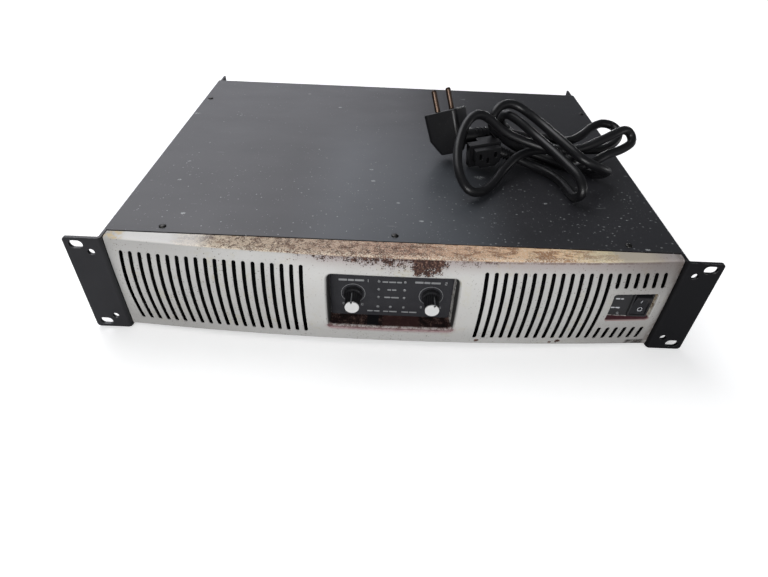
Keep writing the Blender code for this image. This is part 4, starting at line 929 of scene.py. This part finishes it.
def panel_section(x):
    """(depth, z) from the hidden rear edge of the top strip over the crease to the bottom lip."""
    top = LID_TOP
    crease = crease_depth(x)
    bottom = 4.6 - 2.4 * (x / PANEL_HALF_WIDTH) ** 2
    strip_end = (crease + 2.0, top)
    face_start = (face_depth(x, top - 2.2), top - 2.2)
    points = [(11.6, top - 2.0), (11.6, top - 0.4), (11.2, top)]
    for i in range(1, 4):
        points.append((11.2 + (strip_end[0] - 11.2) * i / 3, top))
    points += bezier(strip_end, (crease + 0.1, top), face_start, 6)
    rows = 28
    for row in range(rows + 1):
        z = face_start[1] + (bottom - face_start[1]) * row / rows
        points.append((face_depth(x, z), z))
    start = points[-1]
    corner = (start[0] + 0.3, bottom - 1.6)
    end = (start[0] + 2.4, bottom - 1.6)
    points += bezier(start, corner, end, 4)
    points += [end, (PANEL_LIP_DEPTH, bottom - 1.6)]
    return points


def panel_columns():
    inner = [-56.0 + 8.0 * i for i in range(15)]
    outer = [VENT_X[0] - 3.5 + 7.0 * i for i in range(21)] + [205.8, 207.6, 209.4, 211.2, PANEL_HALF_WIDTH]
    return [-x for x in reversed(outer)] + inner + outer


def front_panel(looks):
    work = bmesh.new()
    columns = []
    for x in panel_columns():
        columns.append([work.verts.new(world(x, depth, z)) for depth, z in panel_section(x)])
    for left, right in zip(columns, columns[1:]):
        for row in range(len(left) - 1):
            work.faces.new((left[row + 1], right[row + 1], right[row], left[row]))
    panel = from_work("front_sheet", work, looks["silver"])
    shell = panel.modifiers.new("sheet", "SOLIDIFY")
    shell.thickness = 1.2 * MM
    shell.offset = -1.0
    shell.use_even_offset = True
    bake(panel)
    vents = []
    for side in (-1, 1):
        for number, x in enumerate(VENT_X):
            split = side > 0 and number >= 14
            spans = ((67.0, 79.4), (11.0, 26.3)) if split else ((11.7, 79.4),)
            for low, high in spans:
                vents.append(stadium(side * x, low, high, VENT_WIDTH))
    cut(panel, slab("vent_tool", vents, -30.0, 10.0, looks["silver"]))
    bevel = panel.modifiers.new("lip", "BEVEL")
    bevel.width = 0.3 * MM
    bevel.segments = 2
    bevel.angle_limit = math.radians(50.0)
    bake(panel)
    holes = []
    for x, z, width, height, corner in (CONTROL, SWITCH):
        holes.append(rectangle(x, z, width, height, corner, steps=10))
    cut(panel, slab("opening_tool", holes, -30.0, 10.0, looks["silver"]))
    smooth(panel, 32.0)
    show(panel, "chassis", "silver_paint", "front_panel")


def recess(name, opening, lip, drop, inner, end_depth, looks):
    """The rounded lip of a pressed opening and its wall, which narrows to an inner outline."""
    count = 10
    x, z, width, height, corner = opening

    def outline(shrink):
        radius = max(corner - shrink, 0.4)
        return rectangle(x, z, width - 2 * shrink, height - 2 * shrink, radius, steps=8, pieces=count)

    base = outline(0.0)
    surface = [face_depth(px, pz) for px, pz in base]
    rings = [[(px, d + 0.9, pz) for (px, pz), d in zip(outline(-0.4), surface)]]
    for step in range(7):
        angle = math.pi / 2 * step / 6
        sink = drop * (1 - math.cos(angle))
        ring = [(px, d + sink, pz) for (px, pz), d in zip(outline(lip * math.sin(angle)), surface)]
        rings.append(ring)
    start = outline(lip)
    end = rectangle(*inner, steps=8, pieces=count)
    for step in range(1, 6):
        t = step / 5
        ring = []
        for (ax, az), (bx, bz), d in zip(start, end, surface):
            near = d + drop
            ring.append((ax + (bx - ax) * t, near + (end_depth - near) * t, az + (bz - az) * t))
        rings.append(ring)
    work = loft(name, rings, looks["recess"], capped=False)
    smooth(work, 40.0)
    show(work, "chassis", "silver_paint")


# ---------------------------------------------------------------- enclosure


def side_plate(word, side, looks):
    """A side of the case whose front end bends outward into a rack ear."""
    inner, outer, bend = SIDE_INNER_X, SIDE_INNER_X + 2.0, 3.0
    plan = [(inner, SIDE_REAR_DEPTH)]
    plan += arc((inner + bend, bend), bend, math.pi, math.pi / 2, 8)
    plan += [(EAR_EDGE_X, 0.0), (EAR_EDGE_X, 2.5)]
    plan += arc((outer + 1.0, 3.5), 1.0, -math.pi / 2, -math.pi / 2, 4)
    plan.append((outer, SIDE_REAR_DEPTH))
    plan = [(side * x, depth) for x, depth in plan]
    plate = slab(f"side_sheet_{word}", [plan], 0.0, RACK_HEIGHT, looks["ear"], axis="Z")
    low = (min(side * 183.0, side * 243.0), 12.1, 86.2)
    high = (max(side * 183.0, side * 243.0), 400.0, 120.0)
    cut(plate, cuboid("step_tool", low, high, looks["ear"]))
    middle = RACK_HEIGHT / 2
    openings = []
    for up in (-1, 1):
        openings.append(rectangle(side * 232.55, middle + up * 38.1, 10.3, 7.0, 3.45, steps=6))
        openings.append(circle(2.65, (side * 223.2, middle + up * 31.75), 24))
    cut(plate, slab("ear_tool", openings, -30.0, 10.0, looks["ear"]))
    for up in (-1, 1):
        corner = ear_corner(side, middle + up * middle, up)
        cut(plate, slab("corner_tool", [corner], -5.0, 8.0, looks["ear"]))
    rounded(plate, 0.3)
    show(plate, "chassis", "ear_paint", f"side_plate_{word}")


def ear_corner(side, z, up, radius=2.5):
    """The waste outside one rounded corner of an ear."""
    centre = (EAR_EDGE_X - radius, z - up * radius)
    points = [(EAR_EDGE_X + 1.0, z + up), (centre[0], z + up)]
    points += arc(centre, radius, up * math.pi / 2, -up * math.pi / 2, 6)
    points.append((EAR_EDGE_X + 1.0, centre[1]))
    return [(side * x, v) for x, v in points]


def lid(looks):
    outlines = [rectangle(0.0, (LID_EDGE_DEPTH + 340.0) / 2, 431.8, 340.0 - LID_EDGE_DEPTH, 0.8, steps=2)]
    for x, depth in LID_SCREWS:
        outlines.append(circle(1.8, (x, depth), 16))
    sheet = slab("lid_sheet", outlines, LID_TOP - 1.2, LID_TOP, looks["lid"], axis="Z")
    rounded(sheet, 0.25)
    show(sheet, "chassis", "lid_paint", "top_cover")


def lid_screws(looks):
    profile = [(0.0, 1.2), (1.1, 1.15), (1.9, 0.95), (2.5, 0.6), (2.75, 0.2), (2.8, 0.02)]
    profile += [(1.5, 0.02), (1.5, -5.0)]
    for number, (x, depth) in enumerate(LID_SCREWS, 1):
        place = spot(x, depth, LID_TOP, "up") @ Matrix.Rotation(number * 1.1, 4, "Z")
        screw = lathe(f"screw_{number}", profile, place, looks["screw"], 28)
        for turn in (0.0, math.pi / 2):
            turned = place @ Matrix.Rotation(turn, 4, "Z")
            cut(screw, cuboid("cross_tool", (-1.7, -0.35, 0.5), (1.7, 0.35, 3.0), looks["screw"], turned))
        smooth(screw)
        show(screw, "chassis", "dark_screw", f"lid_screw_{number}")


# ---------------------------------------------------------------- controls


def knob(word, side, looks):
    """A fluted knob with a skirt, its pointer groove and its light cap."""
    turn = Matrix.Rotation(math.radians(KNOB_TURN[word]), 4, "Y")
    place = Matrix.Translation(world(side * KNOB_X, 3.4, KNOB_Z)) @ turn @ FACING["front"]

    def flutes(height, angle):
        if height < 3.4 or height > 15.0:
            return 0.0
        return 0.28 * (0.5 - 0.5 * math.cos(22 * angle))

    profile = [(0.0, 15.2), (5.35, 15.2), (5.6, 14.95), (5.62, 14.0), (5.7, 11.0), (5.8, 8.0), (5.95, 5.2)]
    profile += [(6.15, 4.2), (6.55, 3.5), (7.05, 3.1), (7.25, 2.8), (7.3, 2.4), (7.3, 0.25), (7.1, 0.0)]
    body = lathe(f"knob_body_{word}", profile + [(0.0, 0.0)], place, looks["knob"], 176, flutes)
    cut(body, cuboid("groove_tool", (-0.6, 4.7, 4.4), (0.6, 9.0, 20.0), looks["knob"], place))
    smooth(body, 40.0)
    show(body, f"knob_{word}", "matt_black", f"level_knob_{word}")
    line = cuboid(f"knob_line_{word}", (-0.42, 4.6, 4.6), (0.42, 5.0, 15.15), looks["print"], place)
    show(rounded(line, 0.08, 1), f"knob_{word}", "cap_silver")
    radius, half = 5.45, 0.75
    notch = math.asin(half / radius)
    outline = arc((0.0, 0.0), radius, math.pi / 2 + notch, 2 * math.pi - 2 * notch, 48)
    outline += [(half, radius - 1.5), (0.0, radius - 1.9), (-half, radius - 1.5)]
    cap = slab(f"knob_disc_{word}", [outline], 15.5, 16.4, looks["cap"], axis="Z", place=place)
    show(rounded(cap, 0.22), f"knob_{word}", "cap_silver", f"knob_cap_{word}")


def marks(outlines, finish, depth=CONTROL_DEPTH, thick=0.06):
    """Each outline as a thin printed shape on a plate."""
    return [slab("mark", [outline], depth - thick, depth + 0.02, finish) for outline in outlines]


def arc_band(x, z, radius, width, start, turn, steps=48):
    outer = arc((x, z), radius + width / 2, start, turn, steps)
    return outer + arc((x, z), radius - width / 2, start + turn, -turn, steps)


def bars(x, z, widths, height=1.0, gap=0.7):
    """A row of short printed bars centred on x, in place of a printed word."""
    total = sum(widths) + gap * (len(widths) - 1)
    left = x - total / 2
    outlines = []
    for width in widths:
        outlines.append(rectangle(left + width / 2, z, width, height, 0.3, steps=2))
        left += width + gap
    return outlines


DIGIT_STROKES = {"0": "abcdef", "1": "bc", "2": "abged"}


def digit(text, x, z, height, stroke=0.28):
    """A seven-stroke digit as thin rectangles."""
    w, h = height * 0.5, height / 2
    strokes = {
        "a": (0.0, h, w, stroke), "g": (0.0, 0.0, w, stroke), "d": (0.0, -h, w, stroke),
        "f": (-w / 2, h / 2, stroke, h), "b": (w / 2, h / 2, stroke, h),
        "e": (-w / 2, -h / 2, stroke, h), "c": (w / 2, -h / 2, stroke, h),
    }
    outlines = []
    for key in DIGIT_STROKES[text]:
        across, up, wide, high = strokes[key]
        outlines.append(rectangle(x + across, z + up, wide + stroke * 0.4, high + stroke * 0.4))
    return outlines


def control_print(looks):
    """Dial rings, end marks, channel numbers and short bars where words would be."""
    outlines = []
    for side in (-1, 1):
        outlines.append(arc_band(side * KNOB_X, KNOB_Z, 9.3, 0.32, math.radians(-58), math.radians(296)))
    for x, z in ((-38.2, 32.1), (23.5, 31.2)):
        outlines += digit("0", x, z, 1.9)
    for x, z in ((-23.9, 31.8), (38.0, 31.4)):
        outlines += digit("1", x - 0.6, z, 1.9) + digit("0", x + 0.7, z, 1.9)
    for word_x, digit_x, number in ((-31.9, -19.6, "1"), (27.0, 41.1, "2")):
        outlines += bars(word_x, 56.3, (6.4, 4.6, 7.2), height=1.8)
        outlines += digit(number, digit_x, 56.2, 2.5, 0.4)
    for z, widths in ((55.6, (4.4, 5.4, 3.8)), (47.8, (2.8, 3.4)), (40.1, (4.8, 5.9))):
        outlines += bars(-0.4, z, widths, height=1.35)
    for x, widths in ((-14.3, (4.4, 4.7)), (-1.0, (4.1, 6.1)), (14.3, (5.5, 6.0))):
        outlines += bars(x, 25.3, widths, height=1.2)
    show(merge("control_print", marks(outlines, looks["dim_print"])), "chassis", "gloss_black")


def light_windows(looks):
    places = [(x, z) for z in (55.7, 47.8, 40.0) for x in (-10.6, 9.6)]
    places += [(x, 30.0) for x in (-10.9, -0.9, 9.6)]
    lenses = []
    for x, z in places:
        profile = [(0.0, 0.35), (0.7, 0.28), (1.15, 0.02), (1.15, -0.3)]
        lenses.append(lathe("lens", profile, spot(x, CONTROL_DEPTH, z, "front"), looks["window"], 20))
    show(smooth(merge("light_windows", lenses), 50.0), "chassis", "clear_plastic")


def rocker(looks):
    """Frame and two-way button with its line and ring marks."""
    x, _, z = ROCKER
    frame_low, frame_high = SWITCH_DEPTH - 1.5, SWITCH_DEPTH - 0.1
    outer = rectangle(x, z, 15.2, 24.2, 0.8, steps=3)
    inner = rectangle(x, z, 12.6, 21.2, 0.3, steps=2)
    bezel = slab("rocker_bezel", [outer, inner], frame_low, frame_high, looks["black"])
    rounded(bezel, 0.3)
    show(bezel, "chassis", "matt_black")
    well = slab("rocker_well", [rectangle(x, z, 13.2, 21.4), inner], SWITCH_DEPTH, 15.0, looks["black"])
    show(rounded(well, 0.1, 1), "chassis", "matt_black", "rocker_housing")
    half, steps = 9.6, 16

    def surface(v):
        return -6.6 + 1.6 * (1 - (v / half) ** 2)

    section = [(-6.4, half)]
    for step in range(steps + 1):
        v = (half - 0.9) * (1 - 2 * step / steps)
        section.append((surface(v), v))
    section += [(-6.4, -half), (-2.0, -half), (5.0, -5.0), (5.0, 5.0), (-2.0, half)]
    place = Matrix.Translation(world(*ROCKER)) @ Matrix.Rotation(math.radians(8.0), 4, "X")
    button = slab("rocker_key", [section], -5.9, 5.9, looks["rocker"], axis="X", place=place)
    rounded(button, 0.35, angle=30.0)
    show(button, "rocker", "gloss_black", "rocker_button")

    marks = []
    line = [(-0.8, 2.6), (-0.2, 2.6), (-0.2, 5.8), (-0.8, 5.8)]
    ring = [circle(radius, (1.1, -4.4), 40) for radius in (1.95, 1.45)]
    for number, outlines in enumerate(([line], ring)):
        flat = Matrix.Identity(4)
        piece = slab(f"key_mark_{number}", outlines, -0.05, 0.05, looks["print"], place=flat)
        for vertex in piece.data.vertices:
            u, w, v = vertex.co / MM
            vertex.co = place @ (Vector((u, surface(v) - 0.04 + w, v)) * MM)
        marks.append(piece)
    show(merge("rocker_marks", marks), "rocker", "gloss_black")


def switch_print(looks):
    outlines = bars(174.6, 52.6, (3.2, 2.0), height=1.2) + bars(173.8, 43.6, (2.8, 3.2), height=1.2)
    show(merge("switch_print", marks(outlines, looks["print"], SWITCH_DEPTH)), "chassis", "matt_black")


# ---------------------------------------------------------------- mains lead


LEAD = (
    (93, 171, 108), (100, 174, 108), (109, 175, 106), (124, 172, 105), (142, 166, 107),
    (160, 165, 105), (176, 176, 106), (188, 187, 110), (200, 194, 112), (210, 192, 111),
    (214, 182, 108), (208, 170, 104), (194, 160, 101), (178, 154, 102), (160, 150, 103),
    (143, 148, 103), (127, 146, 103), (110, 136, 101), (96, 119, 97), (84, 99, 93),
    (72, 83, 93), (60, 77, 98), (52, 88, 107), (51, 106, 117), (55, 123, 127),
    (62, 134, 135), (71, 139, 137), (82, 142, 131), (97, 143, 120), (120, 141, 112),
    (143, 136, 109), (164, 136, 111), (182, 143, 116), (197, 151, 120), (208, 158, 121),
    (215, 159, 117), (216, 154, 111), (206, 148, 106.5), (191, 140, 104.5),
    (173, 129, 100), (160, 138, 92), (140, 154, 92), (117, 164, 96), (99, 162, 107),
    (87, 157, 119), (86, 157, 129), (92, 163, 136), (103, 167, 137), (115, 164, 133),
    (129, 149, 127), (142, 121, 123), (156, 102, 117), (173, 103, 109), (184, 113, 101),
    (180, 127, 91.8), (165, 150, 92), (144, 169, 92), (124, 181, 96), (108, 186, 105),
    (98, 180, 117), (100, 168, 127), (110, 157, 125.5), (124, 140, 119), (134.5, 116, 116.5),
    (143, 97, 113.5), (148.5, 85, 111), (151.5, 77, 106), (152, 74, 99.5), (150, 80, 93.3),
    (148.5, 92, 91.8), (146, 107, 91.8), (141, 120, 91.8), (132.5, 131, 91.8),
    (122, 139, 92.8), (111, 145.5, 95.2),
    (104, 147, 97),
)


def smooth_path(corners, step):
    """Points about one step apart on a Catmull-Rom curve through the corners."""
    first, last = 2 * corners[0] - corners[1], 2 * corners[-1] - corners[-2]
    around = [first, *corners, last]
    path = []
    for before, start, end, after in zip(around, around[1:], around[2:], around[3:]):
        count = max(2, round((end - start).length / step))
        for i in range(count):
            t = i / count
            bend = 2 * before - 5 * start + 4 * end - after
            twist = 3 * start - before - 3 * end + after
            path.append(start + (t * (end - before) + t**2 * bend + t**3 * twist) / 2)
    path.append(corners[-1])
    return path


def mains_cable(looks):
    path = smooth_path([world(*point) for point in LEAD], 2.5 * MM)
    cable = wire("cable", path, 3.95, looks["cable"], 6)
    show(cable, "mains_lead", "lead_rubber", "mains_cable")


def leaning_frame(middle, side, up):
    up = Vector(up).normalized()
    side = Vector(side)
    side = (side - up * side.dot(up)).normalized()
    turn = Matrix((side, up.cross(side), up)).transposed().to_4x4()
    return Matrix.Translation(world(*middle)) @ turn


def boot(name, start, end, wide, narrow, ribs, looks):
    """A ribbed strain relief between two points in metres."""
    length = (end - start).length / MM
    turn = (end - start).to_track_quat("Z", "Y").to_matrix().to_4x4()
    place = Matrix.Translation(start) @ turn
    profile = [(0.0, 0.0), (wide, 0.0), (wide, length * 0.42)]
    first = length * 0.45
    pitch = (length - first) / ribs
    for rib in range(ribs):
        base = first + pitch * rib
        t = rib / ribs
        radius = wide * (1 - t) + narrow * t
        profile += [(radius - 1.1, base), (radius - 1.1, base + pitch * 0.35)]
        profile += [(radius, base + pitch * 0.42), (radius - 0.1, base + pitch * 0.98)]
    profile += [(narrow, length), (0.0, length)]
    return smooth(lathe(name, profile, place, looks["cable"], 32), 40.0)


def mains_plug(looks):
    place = leaning_frame((42.5, 163.0, 130.0), (0.811, -0.366, 0.391), (-0.27, 0.36, 0.90))
    rings = []
    sizes = [(0.0, 31.0, 27.0), (-1.0, 32.0, 28.0), (-9.0, 31.6, 27.6), (-24.0, 31.0, 27.0)]
    for height, width, thick in sizes + [(-38.0, 18.0, 18.0)]:
        outline = rectangle(0.0, 0.0, width, thick, 4.0, steps=6)
        rings.append([(x, y, height) for x, y in outline])
    body = loft("plug_shell", rings, looks["cable"], place)
    rounded(body, 0.7, 3, 25.0)
    show(body, "mains_lead", "lead_rubber", "mains_plug")
    start = place @ (Vector((5.3, 5.3, -26.0)) * MM)
    end = world(*LEAD[0])
    show(boot("plug_relief", start, end, 7.0, 5.0, 5, looks), "mains_lead", "lead_rubber")
    pins = []
    across = Vector((math.cos(1.255), math.sin(1.255), 0.0)) * 9.5 * MM
    for side in (-1, 1):
        local = place @ Matrix.Translation(across * side)
        profile = [(0.0, 19.0), (1.5, 19.0), (2.2, 18.3), (2.4, 17.2), (2.4, 0.1), (0.0, 0.0)]
        pins.append(lathe("pin", profile, local, looks["brass"], 28))
    show(smooth(merge("plug_prongs", pins), 40.0), "mains_lead", "pin_brass", "plug_pins")


def mains_connector(looks):
    place = leaning_frame((82.5, 130.0, 100.9), (0.966, 0.26, 0.09), (0.26, -0.966, 0.0))
    half, high, chamfer = 12.0, 8.5, 4.8
    outline = [(half, high), (half, chamfer - high), (half - chamfer, -high)]
    outline += [(chamfer - half, -high), (-half, chamfer - high), (-half, high)]
    rings = [[(x, y, h) for x, y in outline] for h in (0.0, -9.0)]
    body = loft("connector_shell", rings, looks["cable"], place)
    unite(body, cuboid("block", (-15.0, -10.5, -16.0), (15.0, 10.5, -8.0), looks["cable"], place))
    unite(body, cuboid("hub", (-3.0, -8.0, -25.0), (14.0, 9.0, -15.0), looks["cable"], place))
    for x, y in ((-7.0, 2.2), (7.0, 2.2), (0.0, -2.2)):
        low, high = (x - 1.1, y - 2.5, -7.0), (x + 1.1, y + 2.5, 1.0)
        cut(body, cuboid("slot_tool", low, high, looks["cable"], place))
    rounded(body, 0.6, 2, 35.0)
    show(body, "mains_lead", "lead_rubber", "mains_connector")
    start = place @ (Vector((8.0, 0.0, -18.0)) * MM)
    relief = boot("connector_relief", start, world(*LEAD[-1]), 5.6, 4.6, 4, looks)
    show(relief, "mains_lead", "lead_rubber")


# ---------------------------------------------------------------- kept CAD nodes


def dress_cad_nodes(looks):
    """Gives every CAD node that stays in view a procedural finish by its material slot."""
    by_slot = {
        "bare_steel": "steel", "ear_paint": "ear", "lid_paint": "lid", "dark_screw": "screw",
        "silver_paint": "silver", "gloss_black": "plate", "clear_plastic": "window",
        "green_board": "board", "matt_black": "black", "foam": "foam", "cap_silver": "cap",
        "aluminium": "aluminium", "winding": "winding", "red_button": "red",
        "lead_rubber": "cable", "pin_brass": "brass",
    }
    slots = {part["node"]: part["material_slot"] for part in frame["record"]["subparts"]}
    for name, node in frame["nodes"].items():
        node.data.materials.clear()
        node.data.materials.append(looks[by_slot[slots[name]]])


# ---------------------------------------------------------------- studio


def area_light(name, place, target, size, power, color):
    light = bpy.data.lights.new(name, "AREA")
    light.shape = "RECTANGLE"
    light.size, light.size_y = size
    light.energy = power
    light.color = color
    obj = link(name, light)
    obj.location = place
    obj.rotation_euler = (Vector(target) - Vector(place)).to_track_quat("-Z", "Y").to_euler()


WHITE = (1.0, 1.0, 1.0)
BLUISH = (0.93, 0.93, 1.0)
LIGHTS = (
    ("window", (-0.95, 2.5, 1.40), (-0.05, 0.0, 0.08), (2.6, 1.5), 17.0, BLUISH),
    ("window_top", (-0.85, 1.3, 1.75), (-0.1, 0.0, 0.08), (1.5, 1.1), 10.0, BLUISH),
    ("overhead", (-0.9, 0.7, 2.1), (0.0, 0.0, 0.05), (1.6, 1.6), 22.0, WHITE),
    ("front", (-0.25, -2.4, 0.55), (0.0, -0.1, 0.05), (1.6, 0.8), 46.0, WHITE),
    ("rear", (0.8, 2.2, 0.06), (0.0, 0.17, 0.05), (1.2, 0.10), 5.5, WHITE),
    ("side", (2.3, 0.3, 0.07), (0.2, 0.0, 0.05), (1.2, 0.10), 4.0, WHITE),
    ("front_right", (1.6, -1.8, 0.9), (0.0, -0.1, 0.05), (1.2, 1.0), 4.0, WHITE),
)


def studio():
    """Soft light from the left; the lid mirrors a wide panel of light behind it."""
    scene = bpy.context.scene
    scene.view_settings.view_transform = "Standard"
    backdrop = bpy.data.worlds.new("studio")
    backdrop.use_nodes = True
    nodes, links = backdrop.node_tree.nodes, backdrop.node_tree.links
    sky = nodes["Background"]
    sky.inputs["Color"].default_value = (0.92, 0.95, 1.0, 1.0)
    seen = nodes.new("ShaderNodeLightPath").outputs["Is Camera Ray"]
    strength = nodes.new("ShaderNodeMapRange")
    strength.inputs["To Min"].default_value = 0.16
    strength.inputs["To Max"].default_value = 1.1
    links.new(seen, strength.inputs["Value"])
    links.new(strength.outputs["Result"], sky.inputs["Strength"])
    scene.world = backdrop
    work = bmesh.new()
    bmesh.ops.create_grid(work, x_segments=1, y_segments=1, size=6.0)
    floor = from_work("floor", work, floor_finish())
    floor.location.z = -0.0008
    floor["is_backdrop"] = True
    for light in LIGHTS:
        area_light(*light)


def floor_finish():
    """Pale floor that fades into the white background far away."""
    f = Finish("studio_floor", 0.9, specular=0.0)
    seen = f.nodes.new("ShaderNodeLightPath").outputs["Is Camera Ray"]
    pale = f.mix(f.noise(400.0), (0.89, 0.89, 0.89), (0.92, 0.92, 0.92))
    f.set("Base Color", f.mix(seen, (0.30, 0.30, 0.31), pale))
    f.set("Emission Color", WHITE)
    distance = f.node("ShaderNodeVectorMath", "Value", operation="LENGTH", Vector=f.place)
    glow = f.scaled(f.step(distance, 1100.0, 2600.0), 0.55, 0.45)
    f.set("Emission Strength", f.times(seen, glow))
    return f.material


def camera():
    """Seen from above and in front; the angles follow from the ears' and the lid's outline."""
    azimuth, pitch, roll = math.radians(0.4316), math.radians(39.799), math.radians(2.629)
    data = bpy.data.cameras.new("camera")
    data.lens = 24.8
    data.sensor_width = 36.0
    data.clip_start = 0.01
    obj = link("camera", data)
    turn = Matrix.Rotation(-azimuth, 4, "Z") @ Matrix.Rotation(math.pi / 2 - pitch, 4, "X")
    turn = turn @ Matrix.Rotation(roll, 4, "Z")
    obj.matrix_world = Matrix.Translation((-0.00895, -0.48771, 0.31205)) @ turn
    bpy.context.scene.camera = obj


def corners(box):
    return [list(corner) for corner in box]


LOOKS = finishes()
dress_cad_nodes(LOOKS)
front_panel(LOOKS)
recess("control_recess", CONTROL, 2.1, 4.6, CONTROL_INNER, CONTROL_DEPTH - 0.1, LOOKS)
recess("switch_recess", SWITCH, 0.8, 2.0, SWITCH_INNER, SWITCH_DEPTH - 0.05, LOOKS)
for side_word, side_sign in (("left", -1), ("right", 1)):
    side_plate(side_word, side_sign, LOOKS)
    knob(side_word, side_sign, LOOKS)
lid(LOOKS)
lid_screws(LOOKS)
control_print(LOOKS)
light_windows(LOOKS)
rocker(LOOKS)
switch_print(LOOKS)
mains_cable(LOOKS)
mains_plug(LOOKS)
mains_connector(LOOKS)
studio()
camera()

{"cad": corners(CAD_BOX), "visual": corners(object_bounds())}
